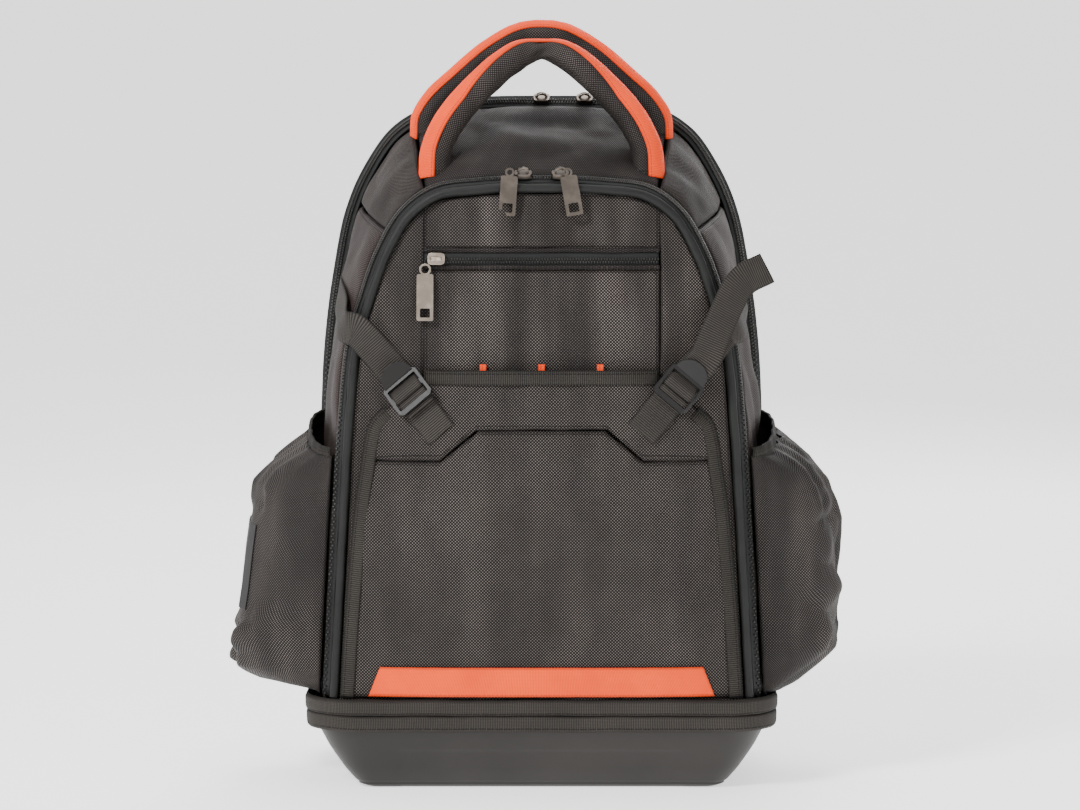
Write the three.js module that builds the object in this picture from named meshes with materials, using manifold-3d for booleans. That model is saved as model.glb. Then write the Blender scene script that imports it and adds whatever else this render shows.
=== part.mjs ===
// Tool backpack: a cloth body on a moulded tub, with a front compartment, pockets, straps and handles.
// Millimetres, +Z up, front towards -Y, standing at z = 0 with the middle of its base at the origin.
import * as THREE from 'three';
import { mergeVertices } from 'three/addons/utils/BufferGeometryUtils.js';
import Module from 'manifold-3d';

const wasm = await Module();
wasm.setup();

// Clearances and walls
const GAP = 0.3;
const CLOTH = 2;
const POCKET_CLOTH = 1.6;
const WEBBING = 1.4;
const WEBBING_WIDTH = 25;

// Tub and the webbing band that covers its joint with the cloth
const TUB_HEIGHT = 62;
const TUB_WALL = 3;
const TUB_FLOOR = 4;
const BAND_BELOW = 16;
const BAND_ABOVE = 9.5;
const BAND_WALL = 2;
const FRONT_CORNER = 42;
const BACK_CORNER = 17;

// Arches: the front zip and the widest line of the bag behind it
const FRONT_HALF = 168;
const FRONT_TOP = 467;
const FRONT_DEPTH = 70;
const REAR_HALF = 178;
const REAR_TOP = 531;
const REAR_DEPTH = 52;
const BACK_DEPTH = 92;
const GUSSET_BULGE = 4;

// Zips and piping, measured across the arch
const ZIP_FACE = 6;
const ZIP_SLANT = 12;
const PIPING_RADIUS = 3.6;
const PIPING_AHEAD = 14;
const MAIN_ZIP_FACE = 9;
const MAIN_ZIP_SLANT = 10;
const BINDING_RADIUS = 1.8;
const TEETH = 1.2;

// Front face and lower pocket
const PANEL_CROWN = 13;
const PANEL_SEAM = 89;
const POCKET_ZIP_DROP = 63;
const POCKET_ZIP_WIDTH = 14;
const POCKET_DROP = 146.5;
const POCKET_HALF = 153;
const POCKET_DEPTH = 13;
const BINDING_WIDTH = 11;
const YOKE_DROP = 44.5;
const YOKE_STEP = 23.5;
const PATCH_HEIGHT = 22.7;
const PATCH_TOP_HALF = 122;
const PATCH_FOOT_HALF = 131;
const LOOP_WIDTH = 5;
const LOOP_LENGTH = 30;
const LOOP_SPACING = 44;

// Side pockets
const SIDE_HEIGHT = 192.2;
const SIDE_REACH = 65;
const MOUTH_TILT = 20;
const HEM_HEIGHT = 8;
const HEM_WALL = 2.6;

// Handles
const FRONT_SPAN = 94;
const FRONT_RISE = 109;
const REAR_SPAN = 104;
const REAR_RISE = 59;
const PAD_WIDTH = 27;
const PAD_THICK = 22;

// Buckles
const BUCKLE_WIDTH = 31;
const BUCKLE_LENGTH = 27;
const BUCKLE_THICK = 2.6;
const BUCKLE_RAIL = 2.4;
const BUCKLE_BAR = 4;
const BUCKLE_TURN = 50;
const TONGUE_LENGTH = 12;
const TONGUE_THICK = 1.4;
const TONGUE_TURN = 17;
const TAB_LENGTH = 44;
const STRAP_RISE = 31.5;

// Zip sliders and pulls
const SLIDER_LENGTH = 13;
const SLIDER_WIDTH = 9;
const SLIDER_THICK = 4;
const BRIDGE_HEIGHT = 4.5;
const BRIDGE_THICK = 1.7;
const PULL_LENGTH = 30;
const PULL_WIDTH = 12.6;
const PULL_THICK = 2;
const PULL_SLOT = 6.9;
const PULL_RAIL = 2.5;

// Back
const BACK_INSET = 12;
const BACK_PAD = 12;
const BACK_PAD_INSET = 34;
const BACK_PAD_FOOT = 90;
const STRAP_PAD_WIDTH = 66;
const STRAP_PAD_THICK = 12;
const STRAP_BOW = 62;
const WEBBING_FOOT = 24;

const SEAM_HEIGHT = TUB_HEIGHT + GAP;
const BAND_TOP = TUB_HEIGHT + BAND_ABOVE;
const ABOVE_BAND = BAND_TOP + GAP;
const POCKET_ZIP_HEIGHT = FRONT_TOP - POCKET_ZIP_DROP;
const POCKET_TOP = FRONT_TOP - POCKET_DROP;
const YOKE_HIGH = POCKET_TOP - YOKE_DROP;
const YOKE_LOW = YOKE_HIGH - YOKE_STEP;
const PATCH_FOOT = ABOVE_BAND + WEBBING + 0.6;
const SIDE_TOP = ABOVE_BAND + SIDE_HEIGHT;
const STRAP_CORNER = POCKET_TOP + STRAP_RISE;

// Shares of each arch's half width and height, from the middle of the top down to the foot
const ARCH_ROWS = [
  { frontOut: 0, frontUp: 1, rearOut: 0, rearUp: 1 },
  { frontOut: 0.283, frontUp: 0.996, rearOut: 0.3, rearUp: 0.997 },
  { frontOut: 0.489, frontUp: 0.983, rearOut: 0.52, rearUp: 0.98 },
  { frontOut: 0.64, frontUp: 0.938, rearOut: 0.672, rearUp: 0.945 },
  { frontOut: 0.752, frontUp: 0.86, rearOut: 0.797, rearUp: 0.877 },
  { frontOut: 0.827, frontUp: 0.774, rearOut: 0.875, rearUp: 0.806 },
  { frontOut: 0.883, frontUp: 0.694, rearOut: 0.932, rearUp: 0.698 },
  { frontOut: 0.921, frontUp: 0.551, rearOut: 0.975, rearUp: 0.56 },
  { frontOut: 0.959, frontUp: 0.3, rearOut: 0.995, rearUp: 0.3 },
  { frontOut: 1, frontUp: 0, rearOut: 1, rearUp: 0 },
];

// Where the gusset's seams cross the arches, as shares of the way from the top to the foot
const SEAMS = {
  top: { front: 0.25, rear: 0.262 },
  side: { front: 0.39, rear: 0.525 },
};

// Outline of the lower pocket: shares of its half width and height
const POCKET_ROWS = [
  { out: 1, up: 0 },
  { out: 0.975, up: 0.24 },
  { out: 0.925, up: 0.58 },
  { out: 0.893, up: 0.71 },
  { out: 0.876, up: 0.78 },
  { out: 0.85, up: 0.835 },
  { out: 0.79, up: 0.872 },
  { out: 0.55, up: 1 },
];

// Side pockets from mouth to foot: height share and how far each side stands out
const SIDE_ROWS = [
  { up: 1, left: 0.19, right: 0.2 },
  { up: 0.96, left: 0.36, right: 0.4 },
  { up: 0.905, left: 0.58, right: 0.6 },
  { up: 0.83, left: 0.76, right: 0.75 },
  { up: 0.67, left: 0.87, right: 0.88 },
  { up: 0.57, left: 0.9, right: 0.87 },
  { up: 0.4, left: 0.94, right: 0.9 },
  { up: 0.24, left: 1, right: 0.89 },
  { up: 0.16, left: 0.98, right: 0.78 },
  { up: 0.09, left: 0.93, right: 0.5 },
  { up: 0.03, left: 0.6, right: 0.24 },
  { up: 0, left: 0.03, right: 0.03 },
];

// Tub from floor to rim: height share and how far it draws in at the sides, front and back
const TUB_ROWS = [
  { up: 0, side: 46, front: 27, back: 14 },
  { up: 0.04, side: 39, front: 22, back: 10 },
  { up: 0.22, side: 28.5, front: 15.5, back: 6 },
  { up: 0.5, side: 16, front: 9, back: 3 },
  { up: 0.74, side: 8, front: 4, back: 1.5 },
  { up: 1, side: 0.5, front: 0.5, back: 0.5 },
];

// Side strap from the rear seam to the front corner: rise above the corner, share of the gusset, lift
const LEG_ROWS = [
  { rise: 34, share: 0.96, lift: 0 },
  { rise: 24, share: 0.6, lift: 0.6 },
  { rise: 12, share: 0.2, lift: 1.2 },
];

// Loose end of the right strap: rise above the corner, way out past the front arch, way back
const TAIL_ROWS = [
  { rise: 4, out: -14, back: -17 },
  { rise: 30, out: 14, back: -6 },
  { rise: 34, out: 36, back: 2 },
];

// Handle outlines along their outer edge: shares of the half span and of the rise
const HANDLE_ROWS = [
  { frontOut: 1, frontUp: 0, rearOut: 1, rearUp: 0 },
  { frontOut: 0.985, frontUp: 0.17, rearOut: 0.985, rearUp: 0.16 },
  { frontOut: 0.9, frontUp: 0.36, rearOut: 0.88, rearUp: 0.36 },
  { frontOut: 0.78, frontUp: 0.52, rearOut: 0.7, rearUp: 0.56 },
  { frontOut: 0.62, frontUp: 0.68, rearOut: 0.47, rearUp: 0.79 },
  { frontOut: 0.41, frontUp: 0.85, rearOut: 0.24, rearUp: 0.95 },
  { frontOut: 0.2, frontUp: 0.965, rearOut: 0.12, rearUp: 0.99 },
  { frontOut: 0, frontUp: 1, rearOut: 0, rearUp: 1 },
];

const point = (x, y, z) => new THREE.Vector3(x, y, z);
const mix = THREE.MathUtils.lerp;
const ARCH_STEPS = 22;
const steps = (count) => Array.from({ length: count + 1 }, (_, i) => i / count);

function geometryFrom(points, faces) {
  const geometry = new THREE.BufferGeometry();
  const places = points.flatMap((p) => [p.x, p.y, p.z]);
  geometry.setAttribute('position', new THREE.Float32BufferAttribute(places, 3));
  let volume = 0;
  for (let i = 0; i < faces.length; i += 3) {
    const [a, b, c] = [points[faces[i]], points[faces[i + 1]], points[faces[i + 2]]];
    volume += a.dot(b.clone().cross(c));
  }
  geometry.setIndex(volume < 0 ? faces.toReversed() : faces);
  geometry.computeVertexNormals();
  return geometry;
}

// Bridges closed loops of equal count. The two ends are capped, or joined to each other in a ring.
function stack(loops, ring = false) {
  const count = loops[0].length;
  const faces = [];
  loops.forEach((loop, row) => {
    const next = (row + 1) % loops.length;
    if (next === 0 && !ring) return;
    for (let k = 0; k < count; k++) {
      const a = row * count + k;
      const b = row * count + ((k + 1) % count);
      const c = next * count + ((k + 1) % count);
      const d = next * count + k;
      faces.push(a, b, c, a, c, d);
    }
  });
  if (!ring) {
    const last = (loops.length - 1) * count;
    for (let k = 1; k < count - 1; k++) faces.push(0, k + 1, k, last, last + k, last + k + 1);
  }
  return geometryFrom(loops.flat(), faces);
}

// Closes the space between an outer and an inner face that are grids of the same size. Both faces
// split their quads along the same diagonal, so layers cut from one face lie evenly on each other.
function between(outer, inner, ring = false) {
  const across = outer[0].length;
  const loop = 2 * across;
  const faces = [];
  outer.forEach((row, i) => {
    const next = (i + 1) % outer.length;
    if (next === 0 && !ring) return;
    for (let k = 0; k < loop; k++) {
      const a = i * loop + k;
      const b = i * loop + ((k + 1) % loop);
      const c = next * loop + ((k + 1) % loop);
      const d = next * loop + k;
      if (k < across) faces.push(a, b, c, a, c, d);
      else faces.push(a, b, d, b, c, d);
    }
  });
  if (!ring) {
    const last = (outer.length - 1) * loop;
    for (let k = 0; k < across - 1; k++) {
      const [a, b, c, d] = [k, k + 1, loop - 2 - k, loop - 1 - k];
      faces.push(a, c, b, a, d, c);
      faces.push(last + a, last + b, last + c, last + a, last + c, last + d);
    }
  }
  return geometryFrom(outer.flatMap((row, i) => [...row, ...inner[i].toReversed()]), faces);
}

// A cloth wall: a surface sampled at us and vs, thickened towards its middle point.
function skin(surface, us, vs, thick, middle, lift = 0) {
  const step = 1e-3;
  const outer = [];
  const inner = [];
  for (const u of us) {
    const near = [];
    const far = [];
    for (const v of vs) {
      const at = surface(u, v);
      const alongU = surface(u + step, v).sub(surface(u - step, v));
      const alongV = surface(u, v + step).sub(surface(u, v - step));
      const normal = alongU.cross(alongV).normalize();
      if (normal.dot(at.clone().sub(middle)) < 0) normal.negate();
      near.push(at.clone().addScaledVector(normal, lift));
      far.push(at.clone().addScaledVector(normal, lift - thick));
    }
    outer.push(near);
    inner.push(far);
  }
  return between(outer, inner);
}

function solid(geometry) {
  const bare = geometry.clone();
  bare.deleteAttribute('normal');
  bare.deleteAttribute('uv');
  const merged = mergeVertices(bare, 1e-4);
  return new wasm.Manifold(new wasm.Mesh({
    numProp: 3,
    vertProperties: new Float32Array(merged.attributes.position.array),
    triVerts: new Uint32Array(merged.index.array),
  }));
}

function geometryOf(manifold) {
  const { vertProperties, triVerts } = manifold.getMesh();
  const geometry = new THREE.BufferGeometry();
  geometry.setAttribute('position', new THREE.BufferAttribute(vertProperties, 3));
  geometry.setIndex(new THREE.BufferAttribute(triVerts, 1));
  geometry.computeVertexNormals();
  return geometry;
}

const bag = new THREE.Group();

const FINISHES = {
  cloth: { color: 0x4a4542, roughness: 0.75, metalness: 0 },
  webbing: { color: 0x46423e, roughness: 0.85, metalness: 0 },
  orange: { color: 0xf07d4b, roughness: 0.8, metalness: 0 },
  tape: { color: 0x3e4240, roughness: 0.7, metalness: 0 },
  tub: { color: 0x585451, roughness: 0.55, metalness: 0 },
  plastic: { color: 0x2a2827, roughness: 0.3, metalness: 0 },
  gunmetal: { color: 0x6b6662, roughness: 0.3, metalness: 1 },
  nickel: { color: 0xb9b0a4, roughness: 0.25, metalness: 1 },
};

function add(name, finish, geometry) {
  const mesh = new THREE.Mesh(geometry, new THREE.MeshStandardMaterial(FINISHES[finish]));
  mesh.name = name;
  bag.add(mesh);
  return mesh;
}

// Arches

function archCurve(outKey, upKey, half, top, depth) {
  const side = (sign) => (row) => point(
    sign * row[outKey] * half, depth, mix(SEAM_HEIGHT, top, row[upKey]),
  );
  const left = ARCH_ROWS.slice(1).reverse().map(side(-1));
  return new THREE.CatmullRomCurve3([...left, ...ARCH_ROWS.map(side(1))]);
}

const frontArch = archCurve('frontOut', 'frontUp', FRONT_HALF, FRONT_TOP, -FRONT_DEPTH);
const rearArch = archCurve('rearOut', 'rearUp', REAR_HALF, REAR_TOP, REAR_DEPTH);

// A place across an arch: way runs from -1 at the left foot over the top to 1 at the right foot,
// out is measured square to the arch and away from the bag, back towards +Y.
function onArch(curve, way, out = 0, back = 0) {
  const share = THREE.MathUtils.clamp((way + 1) / 2, 0, 1);
  const at = curve.getPoint(share);
  const before = curve.getPoint(Math.max(share - 1e-3, 0));
  const after = curve.getPoint(Math.min(share + 1e-3, 1));
  const normal = point(before.z - after.z, 0, after.x - before.x).normalize();
  if (Math.abs(way) > 0.999) normal.set(Math.sign(way), 0, 0);
  return at.addScaledVector(normal, out).add(point(0, back, 0));
}

const MIDDLE = point(0, 0, (SEAM_HEIGHT + FRONT_TOP) / 2);

// The wall between the zips. share runs from 0 at the front zip to 1 at the main zip.
function gusset(way, share) {
  const bulge = 4 * share * (1 - share) * GUSSET_BULGE;
  const front = onArch(frontArch, way, bulge);
  const rear = onArch(rearArch, way, bulge - MAIN_ZIP_FACE - GAP, -MAIN_ZIP_SLANT);
  return front.lerp(rear, share);
}

const gussetDepth = REAR_DEPTH - MAIN_ZIP_SLANT + FRONT_DEPTH;
const gussetShares = steps(5).map((share) => mix(GAP / gussetDepth, 1 - GAP / gussetDepth, share));
const HALF_SEAM = GAP / 2 / (FRONT_TOP + FRONT_HALF);

function gussetPiece(name, from, to, rows) {
  const surface = (u, share) => gusset(mix(from(share), to(share), u), share);
  add(name, 'cloth', skin(surface, steps(rows), gussetShares, CLOTH, MIDDLE));
}

const seam = (line, sign, side) => (share) => (
  sign * (mix(SEAMS[line].front, SEAMS[line].rear, share) + side * HALF_SEAM)
);

function makeGusset() {
  gussetPiece('gusset_top', seam('top', -1, -1), seam('top', 1, -1), 10);
  for (const [label, sign] of [['left', -1], ['right', 1]]) {
    gussetPiece(`gusset_shoulder_${label}`, seam('top', sign, 1), seam('side', sign, -1), 5);
    gussetPiece(`gusset_side_${label}`, seam('side', sign, 1), () => sign, 6);
  }
}

// Sweeps a section, given as {out, back} places, along an arch between two ways.
function alongArch(curve, section, from, to, count) {
  return stack(steps(count).map((share) => (
    section.map(({ out, back }) => onArch(curve, mix(from, to, share), out, back))
  )));
}

// The way at which an arch, moved inwards by out, crosses a height near its foot.
function wayAt(curve, height, out = 0) {
  let low = 0.5;
  let high = 1;
  for (let i = 0; i < 40; i++) {
    const middle = (low + high) / 2;
    if (onArch(curve, middle, out).z > height) low = middle;
    else high = middle;
  }
  return low;
}

function bead(out, back, radius, sides = 6) {
  return Array.from({ length: sides }, (_, i) => {
    const turn = (2 * Math.PI * (i + 0.5)) / sides;
    return { out: out + radius * Math.cos(turn), back: back + radius * Math.sin(turn) };
  });
}

// A zip's tape with its ridge of teeth, from one edge to the other.
function zipSection(from, to, wall) {
  const along = { out: to.out - from.out, back: to.back - from.back };
  const length = Math.hypot(along.out, along.back);
  const face = { out: along.back / length, back: -along.out / length };
  const place = (share, lift) => ({
    out: from.out + along.out * share + face.out * lift,
    back: from.back + along.back * share + face.back * lift,
  });
  return [
    place(0, 0), place(0.3, 0), place(0.36, TEETH), place(0.64, TEETH), place(0.7, 0), place(1, 0),
    { out: to.out - wall, back: to.back }, place(0.04, -wall),
  ];
}

const PIPING_OUT = -(ZIP_FACE + PIPING_RADIUS + GAP);
const PANEL_INSET = ZIP_FACE + 2 * PIPING_RADIUS + 3 * GAP + 0.2;
const foot = wayAt(frontArch, ABOVE_BAND, PIPING_OUT);

function makeZips() {
  const front = zipSection({ out: -ZIP_FACE, back: -ZIP_SLANT }, { out: 0, back: 0 }, POCKET_CLOTH);
  add('front_zip', 'tape', alongArch(frontArch, front, -foot, foot, ARCH_STEPS));
  const piping = bead(PIPING_OUT, -PIPING_AHEAD, PIPING_RADIUS);
  add('front_piping', 'tape', alongArch(frontArch, piping, -foot, foot, ARCH_STEPS));
  const main = zipSection({ out: -MAIN_ZIP_FACE, back: -MAIN_ZIP_SLANT }, { out: 0, back: 0 }, POCKET_CLOTH);
  add('main_zip', 'tape', alongArch(rearArch, main, -1, 1, ARCH_STEPS));
  const binding = bead(-BINDING_RADIUS / 2, BINDING_RADIUS + GAP, BINDING_RADIUS, 5);
  add('main_binding', 'webbing', alongArch(rearArch, binding, -1, 1, ARCH_STEPS));
}

// Rear wall and back panel

const REAR_FROM = 2 * (BINDING_RADIUS + GAP);

function makeRear() {
  const depth = BACK_DEPTH - REAR_DEPTH;
  const places = [
    { out: 0, back: REAR_FROM }, { out: -0.5, back: depth * 0.5 }, { out: -4.5, back: depth * 0.85 },
    { out: -BACK_INSET, back: depth },
  ];
  const inner = [
    { out: -CLOTH, back: REAR_FROM }, { out: -0.5 - CLOTH, back: depth * 0.5 - 0.5 },
    { out: -5 - CLOTH, back: depth * 0.85 - 1.2 }, { out: -BACK_INSET, back: depth - CLOTH },
  ];
  const ways = steps(ARCH_STEPS).map((share) => mix(-1, 1, share));
  const rows = (list) => ways.map((way) => list.map(({ out, back }) => onArch(rearArch, way, out, back)));
  add('rear_gusset', 'cloth', between(rows(places), rows(inner)));
  add('back_panel', 'cloth', geometryOf(plate(
    archShape(rearArch, BACK_INSET + GAP, SEAM_HEIGHT, ARCH_STEPS), BACK_DEPTH - CLOTH, BACK_DEPTH,
  )));
}

// Flat shapes in x and z, and prisms of them along y

function archShape(curve, inset, bottom, count) {
  const last = wayAt(curve, bottom, -inset);
  const outline = steps(count).map((share) => {
    const at = onArch(curve, mix(-last, last, share), -inset);
    return new THREE.Vector2(at.x, at.z);
  });
  outline[0].y = bottom;
  outline[count].y = bottom;
  return new THREE.Shape(outline);
}

function prismGeometry(shape, nearY, farY) {
  const geometry = new THREE.ExtrudeGeometry(shape, {
    depth: farY - nearY, bevelEnabled: false, curveSegments: 6,
  });
  return geometry.rotateX(Math.PI / 2).translate(0, farY, 0);
}

const plate = (shape, nearY, farY) => solid(prismGeometry(shape, nearY, farY));

const shapeOf = (corners) => new THREE.Shape(corners.map(([x, z]) => new THREE.Vector2(x, z)));

const rectangle = (left, right, low, high) => shapeOf([
  [left, low], [right, low], [right, high], [left, high],
]);

// Front face of the bag: its depth at x and z

const FACE_SPRING = 0.49;
const FACE_ROUND = 2.6;

function frontFace(x, z) {
  const spring = mix(SEAM_HEIGHT, FRONT_TOP, FACE_SPRING);
  const half = mix(FRONT_HALF, FRONT_HALF * 0.925, Math.min(1, (z - SEAM_HEIGHT) / (spring - SEAM_HEIGHT)));
  const out = Math.abs(x) / half;
  const up = Math.max(0, (z - spring) / (FRONT_TOP - spring));
  const edge = Math.min(1, (out ** FACE_ROUND + up ** FACE_ROUND) ** (1 / FACE_ROUND));
  return -(FRONT_DEPTH + PIPING_AHEAD - 3 + PANEL_CROWN * (1 - edge ** 4.5));
}

const pocketHalf = (z) => {
  const up = (z - ABOVE_BAND) / (POCKET_TOP - ABOVE_BAND);
  const above = POCKET_ROWS.findIndex((row) => row.up >= up);
  if (above <= 0) return POCKET_HALF * POCKET_ROWS.at(up > 0 ? -1 : 0).out;
  const [low, high] = [POCKET_ROWS[above - 1], POCKET_ROWS[above]];
  return POCKET_HALF * mix(low.out, high.out, (up - low.up) / (high.up - low.up));
};

// Outer face of the lower pocket, which stands off the front face and lies against it at its edges.
function pocketFace(x, z) {
  const up = THREE.MathUtils.clamp((z - ABOVE_BAND) / (POCKET_TOP - ABOVE_BAND), 0, 1);
  const out = Math.min(1, Math.abs(x) / pocketHalf(z));
  const puff = POCKET_DEPTH * (1 - out ** 4) * Math.sin(Math.PI * 0.82 * up);
  return frontFace(x, z) - GAP - CLOTH - puff;
}

// A slab that follows a face, from near to far in front of it.
function slab(face, near, far) {
  const reach = REAR_HALF;
  const columns = steps(10).map((share) => mix(-reach, reach, share));
  const rows = steps(12).map((share) => mix(SEAM_HEIGHT - 1, FRONT_TOP + 3, share));
  const grid = (ahead) => rows.map((z) => columns.map((x) => point(x, face(x, z) - ahead, z)));
  return solid(between(grid(far), grid(near)));
}

const cut = (layer, ...shapes) => shapes.reduce((piece, shape) => (
  piece.intersect(plate(shape, -2 * FRONT_DEPTH - 2 * POCKET_DEPTH, 0))
), layer);

const panelShape = archShape(frontArch, PANEL_INSET, SEAM_HEIGHT, ARCH_STEPS + 4);
const zipLow = POCKET_ZIP_HEIGHT - POCKET_ZIP_WIDTH / 2;
const zipHigh = POCKET_ZIP_HEIGHT + POCKET_ZIP_WIDTH / 2;

function makePanels() {
  const layer = slab(frontFace, -CLOTH, 0);
  const inner = PANEL_SEAM - GAP / 2;
  const outer = PANEL_SEAM + GAP / 2;
  const low = SEAM_HEIGHT - 5;
  const panel = (...shapes) => geometryOf(cut(layer, panelShape, ...shapes));
  add('panel_top', 'cloth', panel(rectangle(-inner, inner, zipHigh + GAP / 2, FRONT_TOP)));
  add('panel_middle', 'cloth', panel(rectangle(-inner, inner, low, zipLow - GAP / 2)));
  add('panel_left', 'cloth', panel(rectangle(-FRONT_HALF, -outer, low, FRONT_TOP)));
  add('panel_right', 'cloth', panel(rectangle(outer, FRONT_HALF, low, FRONT_TOP)));
  const tape = cut(layer, rectangle(-inner, inner, zipLow + GAP / 2, zipHigh - GAP / 2));
  const teeth = cut(slab(frontFace, -CLOTH / 2, TEETH), rectangle(
    -inner + 1, inner - 1, POCKET_ZIP_HEIGHT - 3, POCKET_ZIP_HEIGHT + 3,
  ));
  add('pocket_zip', 'tape', geometryOf(tape.add(teeth)));
}

// Lower pocket

const pocketUp = (row) => mix(ABOVE_BAND, POCKET_TOP, row.up);

function pocketOutline() {
  const right = POCKET_ROWS.map((row) => [row.out * POCKET_HALF, pocketUp(row)]);
  const left = right.toReversed().map(([x, z]) => [-x, z]);
  return shapeOf([...right, ...left]);
}

// The strip of binding down one side, between the outline and a line drawn in by its width.
function bindingStrip(sign) {
  const rows = POCKET_ROWS.slice(0, -1);
  const outer = rows.map((row) => [sign * row.out * POCKET_HALF, pocketUp(row)]);
  const inner = rows.map((row) => [sign * (row.out * POCKET_HALF - BINDING_WIDTH), pocketUp(row)]);
  inner.at(-1)[1] -= BINDING_WIDTH * 0.4;
  return shapeOf([...outer, ...inner.toReversed()]);
}

function yokeLine(drop) {
  const bend = YOKE_HIGH - YOKE_LOW;
  const half = POCKET_HALF + 5;
  const right = [
    [PANEL_SEAM - 13 - bend * 1.15, YOKE_HIGH + drop],
    [PANEL_SEAM - 13, YOKE_LOW + drop],
    [half, YOKE_LOW + drop],
  ];
  return [...right.map(([x, z]) => [-x, z]).reverse(), ...right];
}

function makeLowerPocket() {
  const layer = cut(slab(pocketFace, -CLOTH, 0), pocketOutline());
  const half = POCKET_HALF + 5;
  add('pocket_yoke', 'cloth', geometryOf(cut(layer, shapeOf([
    ...yokeLine(GAP / 2), [half, POCKET_TOP + 5], [-half, POCKET_TOP + 5],
  ]))));
  add('pocket_face', 'cloth', geometryOf(cut(layer, shapeOf([
    ...yokeLine(-GAP / 2), [half, SEAM_HEIGHT], [-half, SEAM_HEIGHT],
  ]))));
  const trim = slab(pocketFace, GAP, GAP + WEBBING);
  const topHalf = POCKET_HALF * POCKET_ROWS.at(-1).out;
  add('pocket_top_binding', 'webbing', geometryOf(cut(trim, rectangle(
    -topHalf + 1, topHalf - 1, POCKET_TOP - BINDING_WIDTH, POCKET_TOP,
  ))));
  add('pocket_binding_left', 'webbing', geometryOf(cut(trim, bindingStrip(-1))));
  add('pocket_binding_right', 'webbing', geometryOf(cut(trim, bindingStrip(1))));
  add('orange_patch', 'orange', geometryOf(cut(trim, shapeOf([
    [-PATCH_FOOT_HALF, PATCH_FOOT], [PATCH_FOOT_HALF, PATCH_FOOT],
    [PATCH_TOP_HALF, PATCH_FOOT + PATCH_HEIGHT], [-PATCH_TOP_HALF, PATCH_FOOT + PATCH_HEIGHT],
  ]))));
  const loops = slab(frontFace, GAP, GAP + WEBBING);
  ['left', 'middle', 'right'].forEach((label, i) => {
    const x = (i - 1) * LOOP_SPACING;
    add(`tool_loop_${label}`, 'orange', geometryOf(cut(loops, rectangle(
      x - LOOP_WIDTH / 2, x + LOOP_WIDTH / 2, POCKET_TOP + 4 - LOOP_LENGTH, POCKET_TOP + 4,
    ))));
  });
}

// Tub and bands: rounded rectangles drawn in from the girth of the bag

const GIRTH = {
  half: REAR_HALF + 1,
  front: FRONT_DEPTH + PIPING_AHEAD - 3 + PANEL_CROWN + 1,
  back: BACK_DEPTH + 1,
};

function girth(side, front, back, z) {
  const [x, near, far] = [GIRTH.half - side, -(GIRTH.front - front), GIRTH.back - back];
  const corners = [[x, far, 0], [-x, far, 1], [-x, near, 2], [x, near, 3]];
  return corners.flatMap(([cornerX, cornerY, quarter]) => {
    const full = cornerY < 0 ? FRONT_CORNER : BACK_CORNER;
    const radius = Math.max(8, full - (side + (cornerY < 0 ? front : -back)) / 2);
    const centreX = cornerX - Math.sign(cornerX) * radius;
    const centreY = cornerY - Math.sign(cornerY) * radius;
    return steps(4).map((share) => {
      const turn = ((quarter + share) * Math.PI) / 2;
      return point(centreX + radius * Math.cos(turn), centreY + radius * Math.sin(turn), z);
    });
  });
}

function makeBase() {
  const outer = TUB_ROWS.map((row) => girth(row.side, row.front, row.back, row.up * TUB_HEIGHT));
  const inner = TUB_ROWS.slice(1).map((row) => girth(
    row.side + TUB_WALL, row.front + TUB_WALL, row.back + TUB_WALL,
    mix(TUB_FLOOR, TUB_HEIGHT, (row.up - TUB_ROWS[1].up) / (1 - TUB_ROWS[1].up)),
  ));
  add('base_tub', 'tub', stack([...outer, ...inner.toReversed()]));
  const band = (name, low, high, out) => {
    const loop = (draw, z) => girth(-draw, -draw, -draw, z);
    const near = GAP;
    add(name, 'webbing', stack([
      loop(near, low), loop(near + out, low + 0.5), loop(near + out, high - 0.5), loop(near, high),
    ], true));
  };
  const middle = BAND_TOP - WEBBING_WIDTH / 2;
  band('base_band_lower', TUB_HEIGHT - BAND_BELOW, middle - GAP / 2, BAND_WALL);
  band('base_band_upper', middle + GAP / 2, BAND_TOP, BAND_WALL + 0.8);
}

// Side pockets

// The place on the gusset at a height, searched down the right leg.
function legAt(height, share) {
  let low = 0.3;
  let high = 1;
  for (let i = 0; i < 40; i++) {
    const middle = (low + high) / 2;
    if (gusset(middle, share).z > height) low = middle;
    else high = middle;
  }
  return gusset(low, share);
}

function sideReach(label, up) {
  if (up >= 1) return SIDE_REACH * SIDE_ROWS[0][label];
  const below = Math.max(1, SIDE_ROWS.findIndex((row) => row.up <= up));
  const [high, low] = [SIDE_ROWS[below - 1], SIDE_ROWS[below]];
  return SIDE_REACH * mix(low[label], high[label], (up - low.up) / (high.up - low.up));
}

// round runs from 0 at the front seam to 1 at the rear seam, up from 0 at the foot to 1 at the mouth.
function sidePocket(label, up, round, lift = 0) {
  const share = mix(0.02, 0.97, round);
  const tilt = MOUTH_TILT * (round - 0.5) * Math.max(0, up) ** 3;
  const height = mix(ABOVE_BAND + GAP, SIDE_TOP, up) + tilt;
  const base = legAt(height, share);
  const boxy = Math.max(0, 1 - Math.abs(2 * round - 1) ** 3.4) ** 0.5;
  const gather = 1.1 * Math.sin(round * Math.PI * 10) * Math.min(1, Math.max(0, up - 0.45) * 2.5) * boxy;
  const stand = GAP + POCKET_CLOTH + (sideReach(label, up) + gather) * boxy + lift;
  const sign = label === 'left' ? -1 : 1;
  return point(sign * (base.x + stand), base.y, base.z);
}

const pocketRounds = steps(10).map((share) => (1 - Math.cos(Math.PI * share)) / 2);
const bounded = (value, low, high) => THREE.MathUtils.clamp(value, low, high);

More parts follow.
